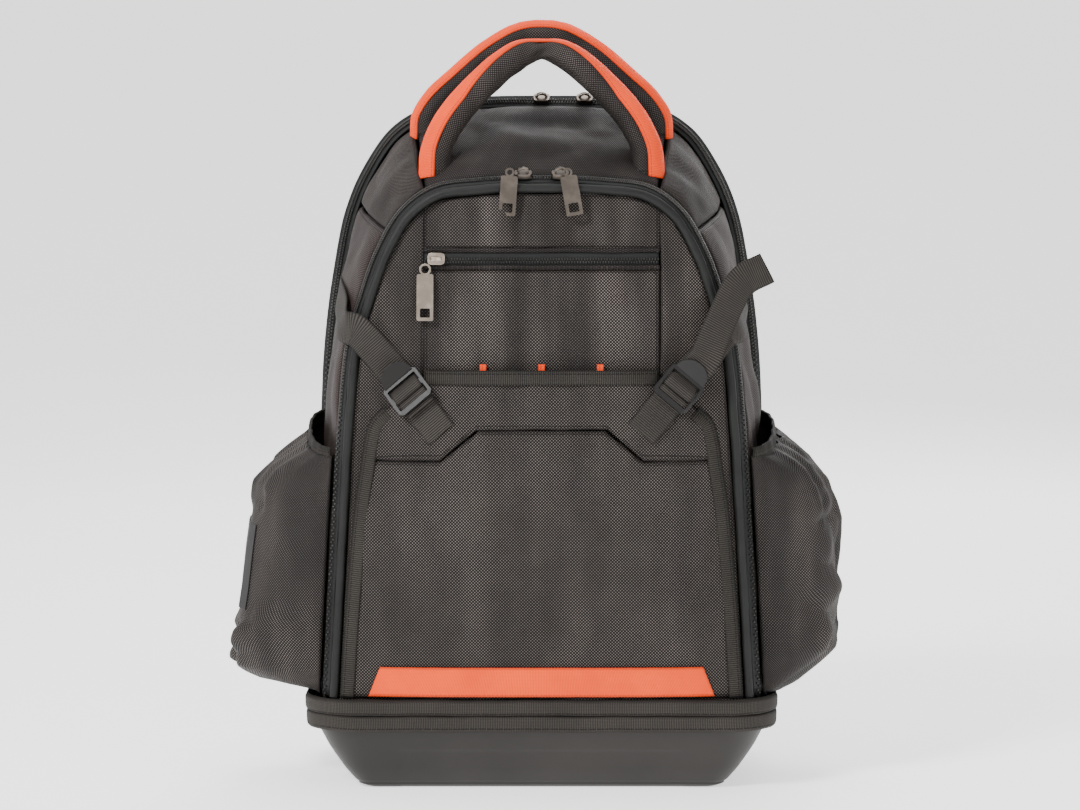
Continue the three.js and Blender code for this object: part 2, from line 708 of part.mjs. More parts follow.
function pocketWall(label, ups, rounds, thick, lift) {
  const place = (up, round) => sidePocket(label, up, round, lift);
  const [highest, lowest] = [Math.max(...ups), Math.min(...ups)];
  const near = (up, round) => {
    const alongUp = place(bounded(up + 0.02, lowest, highest), round)
      .sub(place(bounded(up - 0.02, lowest, highest), round));
    const along = place(up, bounded(round + 0.02, 0, 1)).sub(place(up, bounded(round - 0.02, 0, 1)));
    const normal = alongUp.cross(along).normalize();
    const at = place(up, round);
    if (normal.x * at.x < 0) normal.negate();
    const core = legAt(at.z, mix(0.02, 0.97, round));
    const inward = at.addScaledVector(normal, -thick);
    inward.x = Math.sign(inward.x) * Math.max(Math.abs(inward.x), core.x + GAP);
    return inward;
  };
  return between(ups.map((up) => rounds.map((round) => place(up, round))),
    ups.map((up) => rounds.map((round) => near(up, round))));
}

function makeSidePocket(label) {
  const ups = SIDE_ROWS.map((row) => row.up);
  add(`side_pocket_${label}`, 'cloth', pocketWall(label, ups, pocketRounds, POCKET_CLOTH, 0));
  const hemUps = [1 + GAP / SIDE_HEIGHT, 1 + HEM_HEIGHT / SIDE_HEIGHT];
  add(`side_hem_${label}`, 'webbing', pocketWall(label, hemUps, pocketRounds, HEM_WALL, 0.6));
}

// Handles: padded rolls with a webbing along their outer side, each lying in a plane that leans back

const HANDLES = {
  front: { span: FRONT_SPAN, peak: FRONT_TOP + FRONT_RISE, share: 0.22, peakDepth: -24, pinch: 0.34, turned: 32 },
  rear: { span: REAR_SPAN, peak: REAR_TOP + REAR_RISE, share: 0.84, peakDepth: 16, pinch: 0, turned: 5 },
};
const HANDLE_WAY = 0.256;
const PAD_SIDES = 8;

function handlePlane(kind) {
  const { span, peak, share, peakDepth, pinch, turned } = HANDLES[kind];
  const base = gusset(HANDLE_WAY, share);
  const up = point(0, peakDepth - base.y, peak - base.z);
  const rise = up.length();
  up.normalize();
  const across = point(0, up.z, -up.y);
  const rows = HANDLE_ROWS.map((row) => [row[`${kind}Out`] * span, row[`${kind}Up`] * rise]);
  const right = [[rows[0][0], -0.12 * rise], ...rows];
  const left = right.slice(0, -1).map(([x, z]) => [-x, z]);
  const outline = [...left, ...right.toReversed()].map(([x, z]) => new THREE.Vector2(x, z));
  const curve = new THREE.SplineCurve(outline);
  return steps(13).map((along) => {
    const at = curve.getPoint(along);
    const tangent = curve.getTangent(along);
    const radial = point(-tangent.y, 0, 0).addScaledVector(up, tangent.x);
    const far = Math.abs(2 * along - 1);
    const twist = THREE.MathUtils.degToRad(turned) * Math.min(1, far * 2.2) ** 2;
    const facing = radial.clone().multiplyScalar(Math.cos(twist)).addScaledVector(across, -Math.sin(twist));
    const side = across.clone().multiplyScalar(Math.cos(twist)).addScaledVector(radial, Math.sin(twist));
    const centre = point(at.x, base.y, base.z).addScaledVector(up, at.y)
      .addScaledVector(radial, -PAD_THICK / 2 - WEBBING - GAP);
    return { centre, facing, side, thin: 1 - pinch * Math.exp(-((far / 0.12) ** 2)) };
  });
}

function rollPoint({ centre, facing, side, thin }, corner, extra) {
  const turn = (2 * Math.PI * (corner + 0.5)) / PAD_SIDES;
  return centre.clone()
    .addScaledVector(side, (PAD_WIDTH / 2 + extra) * thin * Math.cos(turn))
    .addScaledVector(facing, (PAD_THICK / 2) * thin * Math.sin(turn) + extra * Math.sin(turn));
}

// Everything under the gusset's outer face, a clearance above it: a handle's ends are cut by it.
function underGusset() {
  const deep = 40;
  const part = (from, to, rows) => solid(skin(
    (u, share) => gusset(mix(from(share), to(share), u), share), steps(rows), gussetShares, deep, MIDDLE, GAP,
  ));
  let under = part(seam('top', -1, 1), seam('top', 1, 1), 10);
  for (const sign of [-1, 1]) under = under.add(part(seam('top', sign, -1), seam('side', sign, -1), 5));
  return under;
}

function makeHandles() {
  const under = underGusset();
  for (const kind of ['front', 'rear']) {
    const stations = handlePlane(kind);
    const corners = Array.from({ length: PAD_SIDES }, (_, i) => i);
    const pad = stack(stations.map((station) => corners.map((corner) => rollPoint(station, corner, 0))));
    const strip = (extra) => stations.map((station) => (
      [0, 1, 2, 3].map((corner) => rollPoint(station, corner, extra))
    ));
    const webbing = between(strip(GAP + WEBBING), strip(GAP));
    add(`handle_${kind}_pad`, 'cloth', geometryOf(solid(pad).subtract(under)));
    add(`handle_${kind}_webbing`, 'orange', geometryOf(solid(webbing).subtract(under)));
  }
}

// Frames: a centre with three square directions. along runs down a strap, across its width, face outwards.

function frameAt(centre, along, face) {
  const across = face.clone().cross(along).normalize();
  return { centre, along, across, face };
}

const inFrame = ({ centre, along, across, face }, u, v, w) => centre.clone()
  .addScaledVector(along, u).addScaledVector(across, v).addScaledVector(face, w);

function placed(geometry, frame) {
  const { centre, along, across, face } = frame;
  return geometry.applyMatrix4(new THREE.Matrix4().makeBasis(along, across, face).setPosition(centre));
}

// A frame on a face of the bag at x and z, lifted until the given corners clear the face.
function frameOn(face, x, z, turn, reach, clear) {
  const slopeX = (face(x + 2, z) - face(x - 2, z)) / 4;
  const slopeZ = (face(x, z + 2) - face(x, z - 2)) / 4;
  const outwards = point(slopeX, -1, slopeZ).normalize();
  const along = point(Math.cos(turn), 0, Math.sin(turn));
  along.addScaledVector(outwards, -along.dot(outwards)).normalize();
  const frame = frameAt(point(x, face(x, z), z), along, outwards);
  let high = 0;
  for (const u of [-1, -0.5, 0, 0.5, 1]) {
    for (const v of [-1, -0.5, 0, 0.5, 1]) {
      const spot = inFrame(frame, u * reach.u, v * reach.v, 0);
      const ground = point(spot.x, face(spot.x, spot.z), spot.z);
      high = Math.max(high, ground.sub(frame.centre).dot(outwards));
    }
  }
  frame.centre.addScaledVector(outwards, high + clear);
  return frame;
}

// Ladder locks

function roundedRectangle(left, right, low, high, radius) {
  const shape = new THREE.Shape();
  shape.moveTo(left + radius, low);
  shape.lineTo(right - radius, low);
  shape.quadraticCurveTo(right, low, right, low + radius);
  shape.lineTo(right, high - radius);
  shape.quadraticCurveTo(right, high, right - radius, high);
  shape.lineTo(left + radius, high);
  shape.quadraticCurveTo(left, high, left, high - radius);
  shape.lineTo(left, low + radius);
  shape.quadraticCurveTo(left, low, left + radius, low);
  return shape;
}

const extrude = (shape, depth, curveSegments = 2) => new THREE.ExtrudeGeometry(
  shape, { depth, bevelEnabled: false, curveSegments },
);

const BAR = BUCKLE_BAR;
const SLOT = (BUCKLE_LENGTH - 3 * BAR) / 2;

function ladderLock(frame, tongue) {
  const [u, v] = [BUCKLE_LENGTH / 2, BUCKLE_WIDTH / 2];
  const shape = roundedRectangle(-u, u, -v, v, 2.5);
  const inner = v - BUCKLE_RAIL;
  shape.holes.push(roundedRectangle(-u + BAR, -BAR / 2, -inner, inner, 0.6));
  shape.holes.push(roundedRectangle(BAR / 2, u - BAR, -inner, inner, 0.6));
  let lock = solid(extrude(shape, BUCKLE_THICK, 1));
  if (tongue) {
    const disc = new THREE.Shape();
    disc.moveTo(0.8, -inner);
    disc.lineTo(0.8, inner);
    disc.absellipse(0, 0, TONGUE_LENGTH, inner, Math.PI / 2, 1.5 * Math.PI, false);
    const lifted = extrude(disc, TONGUE_THICK, 5).rotateY(THREE.MathUtils.degToRad(TONGUE_TURN));
    lock = lock.add(solid(lifted.translate(-u + 0.4, 0, BUCKLE_THICK - 0.5)));
  }
  return placed(geometryOf(lock), frame);
}

// A flat strap through rows of centre, face and, where it turns, its own tangent.
function ribbon(rows, width, thick, count) {
  const path = new THREE.CatmullRomCurve3(rows.map((row) => row.at));
  const faces = new THREE.CatmullRomCurve3(rows.map((row) => row.face));
  const line = steps(count).map((share) => {
    const tangent = path.getTangent(share);
    const face = faces.getPoint(share);
    const across = face.clone().cross(tangent).normalize();
    face.copy(tangent).cross(across).normalize();
    return { at: path.getPoint(share), across, face };
  });
  const side = (lift) => line.map(({ at, across, face }) => [-0.5, 0.5].map((v) => (
    at.clone().addScaledVector(across, v * width).addScaledVector(face, lift)
  )));
  return between(side(thick / 2), side(-thick / 2));
}

const BUCKLES = {
  left: { sign: -1, out: 9, drop: 17.5 },
  right: { sign: 1, out: 13, drop: 13.5 },
};
const tabTop = (x, z) => pocketFace(x, z) - GAP - WEBBING;

function buckleFrame(side) {
  const { sign, out, drop } = BUCKLES[side];
  const turn = THREE.MathUtils.degToRad(BUCKLE_TURN);
  const reach = { u: BUCKLE_LENGTH / 2, v: BUCKLE_WIDTH / 2 };
  return frameOn(
    tabTop, sign * (PANEL_SEAM + out), POCKET_TOP - drop, sign < 0 ? -turn : Math.PI + turn, reach,
    2 * GAP + WEBBING,
  );
}

const mirrored = (at, sign) => point(sign * at.x, at.y, at.z);

// A place on the leg of the gusset, lifted outwards, with its outward direction.
function onLeg(height, share, lift, sign) {
  const at = legAt(height, share);
  const ahead = legAt(height, share - 0.02).sub(legAt(height, share + 0.02));
  const along = legAt(height + 2, share).sub(legAt(height - 2, share));
  const face = along.cross(ahead).normalize();
  if (face.x < 0) face.negate();
  return { at: mirrored(at.addScaledVector(face, lift), sign), face: mirrored(face, sign) };
}

// A webbing that comes up through the upper slot, over the middle bar and down into the lower slot.
const UNDER_BAR = -GAP - WEBBING / 2 - 0.1;
const OVER_BAR = BUCKLE_THICK + GAP + WEBBING / 2;

function threadRows(frame) {
  const [near, far] = [BAR / 2 + SLOT * 0.08, BAR / 2 + SLOT - 0.2];
  const places = [
    [-far, UNDER_BAR], [-near - SLOT / 2, (UNDER_BAR + OVER_BAR) / 2 - 0.3], [-near, OVER_BAR],
    [0, OVER_BAR + 0.25], [near, OVER_BAR], [near + SLOT / 2, (UNDER_BAR + OVER_BAR) / 2], [far - 1.2, 0.4],
  ];
  return places.map(([u, w]) => ({ at: inFrame(frame, u, 0, w), face: frame.face }));
}

function strapRows(frame, sign) {
  const { face } = frame;
  const rest = GAP + WEBBING / 2 + 0.4;
  const corner = wayAt(frontArch, STRAP_CORNER);
  const diagonal = point(0.75 * sign, -0.66, 0);
  const turnAt = (out, back) => onArch(frontArch, sign * corner, out, back);
  return [
    ...LEG_ROWS.map(({ rise, share, lift }) => onLeg(STRAP_CORNER + rise, share, rest + lift, sign)),
    { at: turnAt(3.2, -8), face: diagonal },
    { at: turnAt(-7, -PIPING_AHEAD - PIPING_RADIUS - 3.4), face: point(0.3 * sign, -0.95, 0) },
    { at: inFrame(frame, -BUCKLE_LENGTH / 2 - 12, 0, 0.2), face },
    { at: inFrame(frame, -BUCKLE_LENGTH / 2, 0, UNDER_BAR), face },
    ...threadRows(frame),
  ];
}

function tailRows(frame) {
  const start = -BUCKLE_LENGTH / 2 - GAP;
  const { face } = frame;
  const free = point(0.35, -0.93, 0.1);
  return [
    { at: inFrame(frame, start, 0, GAP + WEBBING / 2), face },
    { at: inFrame(frame, start - 16, 0, 4.2), face },
    ...TAIL_ROWS.map(({ rise, out, back }) => (
      { at: onArch(frontArch, wayAt(frontArch, STRAP_CORNER + rise), out, back - PIPING_AHEAD), face: free }
    )),
  ];
}

function makeStraps() {
  const tabs = slab(pocketFace, GAP, GAP + WEBBING);
  for (const [side, { sign }] of Object.entries(BUCKLES)) {
    const frame = buckleFrame(side);
    add(`buckle_${side}`, 'plastic', ladderLock(frame, true));
    add(`strap_${side}`, 'webbing', ribbon(strapRows(frame, sign), WEBBING_WIDTH - 0.6, WEBBING, 28));
    const corners = [[3, -0.5], [TAB_LENGTH, -0.5], [TAB_LENGTH, 0.5], [3, 0.5]].map(([u, v]) => {
      const at = inFrame(frame, u, v * WEBBING_WIDTH, 0);
      return [at.x, at.z];
    });
    const tab = cut(tabs, shapeOf(sign < 0 ? corners : corners.toReversed()));
    add(`strap_tab_${side}`, 'webbing', geometryOf(tab));
  }
  add('strap_tail', 'webbing', ribbon(tailRows(buckleFrame('right')), WEBBING_WIDTH - 0.6, WEBBING, 10));
}

// Zip sliders and pulls

function slider(name, finish, frame) {
  const [half, side] = [SLIDER_LENGTH / 2, SLIDER_WIDTH / 2];
  const body = solid(extrude(roundedRectangle(-half, half, -side, side, side * 0.66), SLIDER_THICK));
  const [low, high, foot] = [SLIDER_THICK - 0.5, SLIDER_THICK + BRIDGE_HEIGHT, half - 1.5];
  const [under, inner] = [high - BRIDGE_THICK, foot - BRIDGE_THICK];
  const arch = new THREE.Shape();
  arch.moveTo(-foot, low);
  arch.quadraticCurveTo(-foot + 0.5, high, 0, high);
  arch.quadraticCurveTo(foot - 0.5, high, foot, low);
  arch.lineTo(inner, low);
  arch.quadraticCurveTo(inner - 0.4, under, 0, under);
  arch.quadraticCurveTo(0.4 - inner, under, -inner, low);
  const wide = SLIDER_WIDTH * 0.27;
  const bridge = extrude(arch, wide).translate(0, 0, -wide / 2).rotateX(Math.PI / 2);
  add(name, finish, placed(geometryOf(body.add(solid(bridge))), frame));
}

// A pull plate with a slot near its free end and an eye at its head; the origin is at the head.
function pull(name, finish, frame, length, ring) {
  const shape = roundedRectangle(0, length, -PULL_WIDTH / 2, PULL_WIDTH / 2, 1.5);
  const inner = PULL_WIDTH / 2 - PULL_RAIL;
  const slot = [length - PULL_RAIL - PULL_SLOT, length - PULL_RAIL];
  shape.holes.push(roundedRectangle(...slot, -inner, inner, 0.8));
  let plate = solid(extrude(shape, PULL_THICK));
  const eye = new THREE.Shape().absarc(1 - ring, 0, ring, 0, 2 * Math.PI);
  eye.holes.push(new THREE.Path().absarc(1 - ring, 0, ring - 1.5, 0, 2 * Math.PI));
  plate = plate.add(solid(extrude(eye, PULL_THICK - 0.4, 5)));
  add(name, finish, placed(geometryOf(plate), frame));
}

function makeSliders() {
  const teethOut = TEETH + GAP;
  for (const [side, sign] of [['left', -1], ['right', 1]]) {
    const way = (sign * 13) / FRONT_HALF / 2.4;
    const at = onArch(frontArch, way, -ZIP_FACE / 2, -ZIP_SLANT / 2);
    const face = point(0, -ZIP_FACE, ZIP_SLANT).normalize();
    const along = point(sign, 0, 0);
    slider(`slider_front_${side}`, 'gunmetal', frameAt(at.addScaledVector(face, teethOut), along, face));
    const tilt = THREE.MathUtils.degToRad(sign < 0 ? 94 : 80);
    const down = point(Math.cos(tilt), 0, -Math.sin(tilt));
    const ahead = FRONT_DEPTH + PIPING_AHEAD + PIPING_RADIUS + 2 * GAP;
    const head = point(sign * 22 - 2, -ahead, FRONT_TOP - 1);
    pull(`pull_front_${side}`, 'gunmetal', frameAt(head, down, point(0, -1, 0)), PULL_LENGTH, 3.6);
    const rear = onArch(rearArch, sign * 0.035 + 0.035, -MAIN_ZIP_FACE / 2, -MAIN_ZIP_SLANT / 2);
    const rearFace = point(0, -MAIN_ZIP_FACE, MAIN_ZIP_SLANT).normalize();
    const rearFrame = frameAt(rear.addScaledVector(rearFace, teethOut), along, rearFace);
    slider(`slider_rear_${side}`, 'gunmetal', rearFrame);
  }
  const x = -PANEL_SEAM + 10;
  const seat = point(x, frontFace(x, POCKET_ZIP_HEIGHT) - teethOut - 0.4, POCKET_ZIP_HEIGHT);
  slider('slider_pocket', 'nickel', frameAt(seat, point(-1, 0, 0), point(0, -1, 0)));
  const hang = frameOn(frontFace, x - 8, POCKET_ZIP_HEIGHT - 28, -Math.PI / 2, { u: 20, v: 8 }, GAP + 2.5);
  hang.centre.addScaledVector(hang.along, -16.2);
  pull('pull_pocket', 'nickel', hang, PULL_LENGTH + 5, 4.6);
}

// Trim on the left side pocket

function makeSideTrim() {
  const rounds = pocketRounds.slice(3, 8);
  add('side_patch', 'plastic', pocketWall('left', [0.67, 0.57, 0.4, 0.32], rounds, 1, GAP + 1));
  const at = sidePocket('left', 0.16, 0.4, 0.8);
  const ring = new THREE.LatheGeometry([
    new THREE.Vector2(2.6, 0), new THREE.Vector2(4.6, 0), new THREE.Vector2(4.2, 1), new THREE.Vector2(3, 1),
    new THREE.Vector2(2.6, 0),
  ], 12).rotateZ(Math.PI / 2).translate(at.x, at.y, at.z);
  add('side_eyelet', 'nickel', geometryOf(solid(ring)));
}

// Back pad and shoulder straps

const PAD_FACE = BACK_DEPTH + GAP + BACK_PAD;
const STRAP_ROWS = [
  { x: 0.3, bow: 0, up: 0.88 }, { x: 0.31, bow: 0.05, up: 0.83 }, { x: 0.34, bow: 0.55, up: 0.76 },
  { x: 0.39, bow: 0.97, up: 0.63 }, { x: 0.44, bow: 0.97, up: 0.5 }, { x: 0.48, bow: 0.6, up: 0.4 },
  { x: 0.51, bow: 0.22, up: 0.32 }, { x: 0.52, bow: 0.1, up: 0.28 },
];

function strapPlace(row, sign) {
  return point(
    sign * row.x * REAR_HALF, PAD_FACE + GAP + STRAP_PAD_THICK / 2 + row.bow * STRAP_BOW,
    mix(SEAM_HEIGHT, REAR_TOP, row.up),
  );
}

function makeBack() {
  const outline = archShape(rearArch, BACK_PAD_INSET, SEAM_HEIGHT + BACK_PAD_FOOT, 16);
  const bevel = 4;
  const pad = new THREE.ExtrudeGeometry(outline, {
    depth: BACK_PAD - 2 * bevel, bevelThickness: bevel, bevelSize: bevel, bevelSegments: 1,
  }).rotateX(Math.PI / 2).translate(0, PAD_FACE - bevel, 0);
  add('back_pad', 'cloth', geometryOf(solid(pad)));
  for (const [side, sign] of [['left', -1], ['right', 1]]) {
    const curve = new THREE.CatmullRomCurve3(STRAP_ROWS.map((row) => strapPlace(row, sign)));
    const stations = steps(12).map((share) => {
      const tangent = curve.getTangent(share);
      const across = point(1, 0, 0).addScaledVector(tangent, -tangent.x).normalize();
      return { centre: curve.getPoint(share), across, face: tangent.clone().cross(across) };
    });
    const section = [
      [-0.5, -0.2], [-0.42, -0.5], [0.42, -0.5], [0.5, -0.2],
      [0.5, 0.2], [0.42, 0.5], [-0.42, 0.5], [-0.5, 0.2],
    ];
    add(`shoulder_strap_${side}`, 'cloth', stack(stations.map(({ centre, across, face }, row) => {
      const end = Math.max(0, row / 12 - 0.75) * 4;
      const wide = STRAP_PAD_WIDTH * mix(1, 0.5, end);
      const thick = STRAP_PAD_THICK * mix(1, 0.3, end);
      return section.map(([v, w]) => (
        centre.clone().addScaledVector(across, v * wide).addScaledVector(face, w * thick)
      ));
    })));
    const { centre: end } = stations.at(-1);
    const foot = point(
      sign * (REAR_HALF - BACK_INSET - 22), BACK_DEPTH + GAP + WEBBING / 2, SEAM_HEIGHT + WEBBING_FOOT,
    );
    const down = foot.clone().sub(end).normalize();
    const out = point(0, 1, 0).addScaledVector(down, -down.y).normalize();
    const lock = frameAt(end.clone().addScaledVector(down, BUCKLE_LENGTH / 2 + 5.2), down, out);
    add(`adjuster_${side}`, 'plastic', ladderLock(lock, false));
    add(`strap_webbing_${side}`, 'webbing', ribbon([
      ...threadRows(lock).slice(1, -1),
      { at: inFrame(lock, BUCKLE_LENGTH / 2 - BAR - 0.2, 0, UNDER_BAR), face: out },
      { at: inFrame(lock, BUCKLE_LENGTH / 2 + 1, 0, UNDER_BAR), face: out },
      { at: foot.clone().addScaledVector(down, -30).add(point(0, 1, 0)), face: out },
      { at: foot, face: point(0, 1, 0) },
    ], WEBBING_WIDTH - 0.6, WEBBING, 20));
  }
}

makeBase();
makeGusset();
makeZips();
makeRear();
makePanels();
makeLowerPocket();
makeSidePocket('left');
makeSidePocket('right');
makeHandles();
makeStraps();
makeSliders();
makeSideTrim();
makeBack();

export default bag;
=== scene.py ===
# %% [markdown]
# # A tool backpack in cloth, webbing and moulded plastic
# The solids of the bag are ready: they carry its real sizes. This lesson dresses them. Each soft solid
# is replaced by a thin cloth piece that follows the same surface, and each hard one keeps its shape and
# gets a better finish. All lengths below are written in millimetres and turned into metres at the end.

# %% Load the solids as a fixed frame
import math

import bmesh
import bpy
from mathutils import Matrix, Vector, noise


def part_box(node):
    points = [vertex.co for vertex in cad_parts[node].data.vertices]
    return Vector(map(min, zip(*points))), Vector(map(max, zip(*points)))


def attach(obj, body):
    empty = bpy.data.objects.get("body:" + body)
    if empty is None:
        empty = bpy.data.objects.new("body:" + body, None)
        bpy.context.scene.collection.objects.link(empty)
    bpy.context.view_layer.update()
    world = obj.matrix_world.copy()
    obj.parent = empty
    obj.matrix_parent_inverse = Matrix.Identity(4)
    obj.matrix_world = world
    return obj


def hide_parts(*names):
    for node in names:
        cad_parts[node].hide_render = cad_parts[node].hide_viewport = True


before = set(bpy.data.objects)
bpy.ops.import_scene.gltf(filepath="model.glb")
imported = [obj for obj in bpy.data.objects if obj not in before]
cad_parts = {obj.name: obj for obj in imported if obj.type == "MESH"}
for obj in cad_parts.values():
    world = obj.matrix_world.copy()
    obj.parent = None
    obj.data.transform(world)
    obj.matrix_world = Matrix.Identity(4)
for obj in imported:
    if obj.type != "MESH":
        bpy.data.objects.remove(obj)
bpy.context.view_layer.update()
MM = 0.001

# %% [markdown]
# ## Camera, floor and light
# The bag was photographed from the front, a little above its middle, with a long lens. The camera comes
# first, so that every later step can be judged in the right view. The floor is a pale sheet that turns
# up far behind the bag, and three large soft lights stand in for a studio tent.

# %% Camera
camera_data = bpy.data.cameras.new("camera")
camera_data.sensor_width = 36
camera_data.lens = 98.1
camera_data.clip_end = 50
camera = bpy.data.objects.new("camera", camera_data)
camera.location = (-0.0012, -2.3, 0.43)
camera.rotation_euler = (math.radians(90 - 3.52), 0, 0)
bpy.context.scene.collection.objects.link(camera)
bpy.context.scene.camera = camera
print("camera lens:", camera_data.lens)


# %% Floor
def new_object(name, bm, smooth=True):
    """Turns a finished bmesh into an object at the origin."""
    for face in bm.faces:
        face.smooth = smooth
    mesh = bpy.data.meshes.new(name)
    bm.to_mesh(mesh)
    bm.free()
    made = bpy.data.objects.new(name, mesh)
    bpy.context.scene.collection.objects.link(made)
    return made


floor_bm = bmesh.new()
bmesh.ops.create_grid(floor_bm, x_segments=1, y_segments=1, size=6)
back_edge = [edge for edge in floor_bm.edges if all(vert.co.y > 5 for vert in edge.verts)]
raised = bmesh.ops.extrude_edge_only(floor_bm, edges=back_edge)["geom"]
bmesh.ops.translate(floor_bm, vec=(0, 0, 6), verts=[g for g in raised if isinstance(g, bmesh.types.BMVert)])
bmesh.ops.bevel(floor_bm, geom=back_edge, affect="EDGES", offset=3.5, segments=24, profile=0.5, material=-1)
floor = new_object("floor", floor_bm)
print("floor faces:", len(floor.data.polygons))


# %% Lights
def soft_light(name, place, size, power):
    """A square lamp that looks at the middle of the bag."""
    data = bpy.data.lights.new(name, "AREA")
    data.size = size
    data.energy = power
    lamp = bpy.data.objects.new(name, data)
    lamp.location = place
    lamp.rotation_euler = (Vector((0, 0, 0.3)) - Vector(place)).to_track_quat("-Z", "Y").to_euler()
    bpy.context.scene.collection.objects.link(lamp)
    return lamp


soft_light("key_light", (-1.5, -1.7, 2.0), 0.7, 96)
soft_light("fill_light", (2.0, -1.7, 0.9), 1.2, 20)
soft_light("top_light", (0.1, 0.4, 2.4), 1.2, 26)
soft_light("back_light", (0.6, 2.6, 1.6), 1.6, 40)
world = bpy.data.worlds.new("studio")
world.use_nodes = True
world.node_tree.nodes["Background"].inputs["Color"].default_value = (1, 1, 1, 1)
world.node_tree.nodes["Background"].inputs["Strength"].default_value = 0.55
bpy.context.scene.world = world


# %% [markdown]
# ## A small language for shaders
# Patterns such as a weave are sums and products of waves. Written as node trees they are long, so a
# small class wraps one value of a material and lets Python's own signs build the Math nodes.

# %% Wrapping a socket
def math_method(operation, turned=False):
    """A method that adds one Math node. turned swaps its two sides."""
    def method(self, *others):
        values = (self, *others)
        return self.finish.node("ShaderNodeMath", {"operation": operation},
                                dict(enumerate(reversed(values) if turned else values)))
    return method


class Wire:
    """One number in a material. Python's arithmetic on it adds Math nodes."""

    def __init__(self, finish, socket):
        self.finish, self.socket = finish, socket

    __add__ = __radd__ = math_method("ADD")
    __sub__, __rsub__ = math_method("SUBTRACT"), math_method("SUBTRACT", turned=True)
    __mul__ = __rmul__ = math_method("MULTIPLY")
    __truediv__, __mod__ = math_method("DIVIDE"), math_method("FLOORED_MODULO")
    __pow__ = math_method("POWER")
    sine, size, floor = math_method("SINE"), math_method("ABSOLUTE"), math_method("FLOOR")

    def ramp(self, low, high):
        """0 below low, 1 above high, and smooth between them."""
        return self.finish.node(
            "ShaderNodeMapRange", {"interpolation_type": "SMOOTHSTEP"},
            {"Value": self, "From Min": low, "From Max": high, "To Min": 0.0, "To Max": 1.0},
        )


class Finish:
    """A material, with one method that adds any node."""

    def __init__(self, name):
        self.material = bpy.data.materials.new(name)
        self.material.use_nodes = True
        self.tree = self.material.node_tree
        self.shader = self.tree.nodes["Principled BSDF"]

    def node(self, kind, settings=None, sockets=None, out=0):
        made = self.tree.nodes.new(kind)
        for key, value in (settings or {}).items():
            setattr(made, key, value)
        for key, value in (sockets or {}).items():
            self.feed(made.inputs[key], value)
        return Wire(self, made.outputs[out])

    def feed(self, socket, value):
        """Links a wire to a socket, or writes a constant on it."""
        if isinstance(value, Wire):
            self.tree.links.new(value.socket, socket)
        else:
            socket.default_value = value

    def set(self, **values):
        """Sets sockets of the shader: underscores in a name stand for spaces."""
        for key, value in values.items():
            self.feed(self.shader.inputs[key.replace("_", " ")], value)

    def split(self, vector):
        made = self.node("ShaderNodeSeparateXYZ", None, {"Vector": vector})
        nodes = made.socket.node
        return [Wire(self, nodes.outputs[i]) for i in range(3)]

    def uv(self):
        """Across and along the piece, in millimetres."""
        flat = self.split(self.node("ShaderNodeUVMap", {"uv_map": "UVMap"}))
        return flat[0] * 1000, flat[1] * 1000

    def spot(self):
        """A place on the object, in metres."""
        return self.node("ShaderNodeTexCoord", out="Object")

    def cloudy(self, scale, detail=3.0, rough=0.55):
        return self.node("ShaderNodeTexNoise", None, {
            "Vector": self.spot(), "Scale": scale, "Detail": detail, "Roughness": rough})

    def blend(self, share, first, second):
        """A colour between two: each is a colour or the wire of one."""
        mix = self.tree.nodes.new("ShaderNodeMix")
        mix.data_type = "RGBA"
        color_sockets = [s for s in mix.inputs if s.type == "RGBA"]
        for socket, value in zip([mix.inputs[0], *color_sockets], [share, first, second]):
            self.feed(socket, value)
        return Wire(self, next(s for s in mix.outputs if s.type == "RGBA"))

    def inset(self):
        """How far a place lies from the nearest edge of its piece, in millimetres."""
        return self.node("ShaderNodeAttribute", {"attribute_name": "inset"}, out="Fac")

    def bump(self, height, depth, strength):
        """Feeds a height into the shader's normal, and ends the material. depth is in millimetres."""
        self.set(Normal=self.node("ShaderNodeBump", None, {
            "Height": height, "Distance": depth * MM, "Strength": strength}, out="Normal"))
        return self.material


def paint(color, share=1.0):
    """A colour from the screen's 0 to 255 numbers, darkened or lightened by a share."""
    line = [v * share / 255 for v in color]
    return (*[v / 12.92 if v <= 0.04045 else ((v + 0.055) / 1.055) ** 2.4 for v in line], 1)


print("a mid grey:", [round(v, 3) for v in paint((128, 128, 128))])

# %% [markdown]
# ## The bag's cloth
# Ballistic nylon is a coarse plain weave of shiny yarn. From a distance each raised yarn is a pale dot
# on a darker ground, in a pattern like a draughtboard, about 1.2 mm a square. A product of two sines
# gives the board. A little noise moves the yarns, and a larger one changes the tone from place to place.


# %% Weaves
def weave(finish, across, along, pitch, wander=0.25):
    """A draughtboard of raised yarns: 1 on a yarn, 0 between them."""
    drift = finish.cloudy(90, 2.0) * (wander * 2 * math.pi / pitch)
    turn = math.pi / pitch
    return ((across * turn + drift).sine() * (along * turn - drift).sine()) * 0.5 + 0.5


def stitches(across, along, at, length=3.2, width=0.55):
    """A row of stitches along the piece: 1 on the thread."""
    row = 1 - (across - at).size().ramp(width * 0.5, width)
    dash = ((along / length) % 1.0 - 0.5).size()
    return row * (1 - dash.ramp(0.36, 0.44))


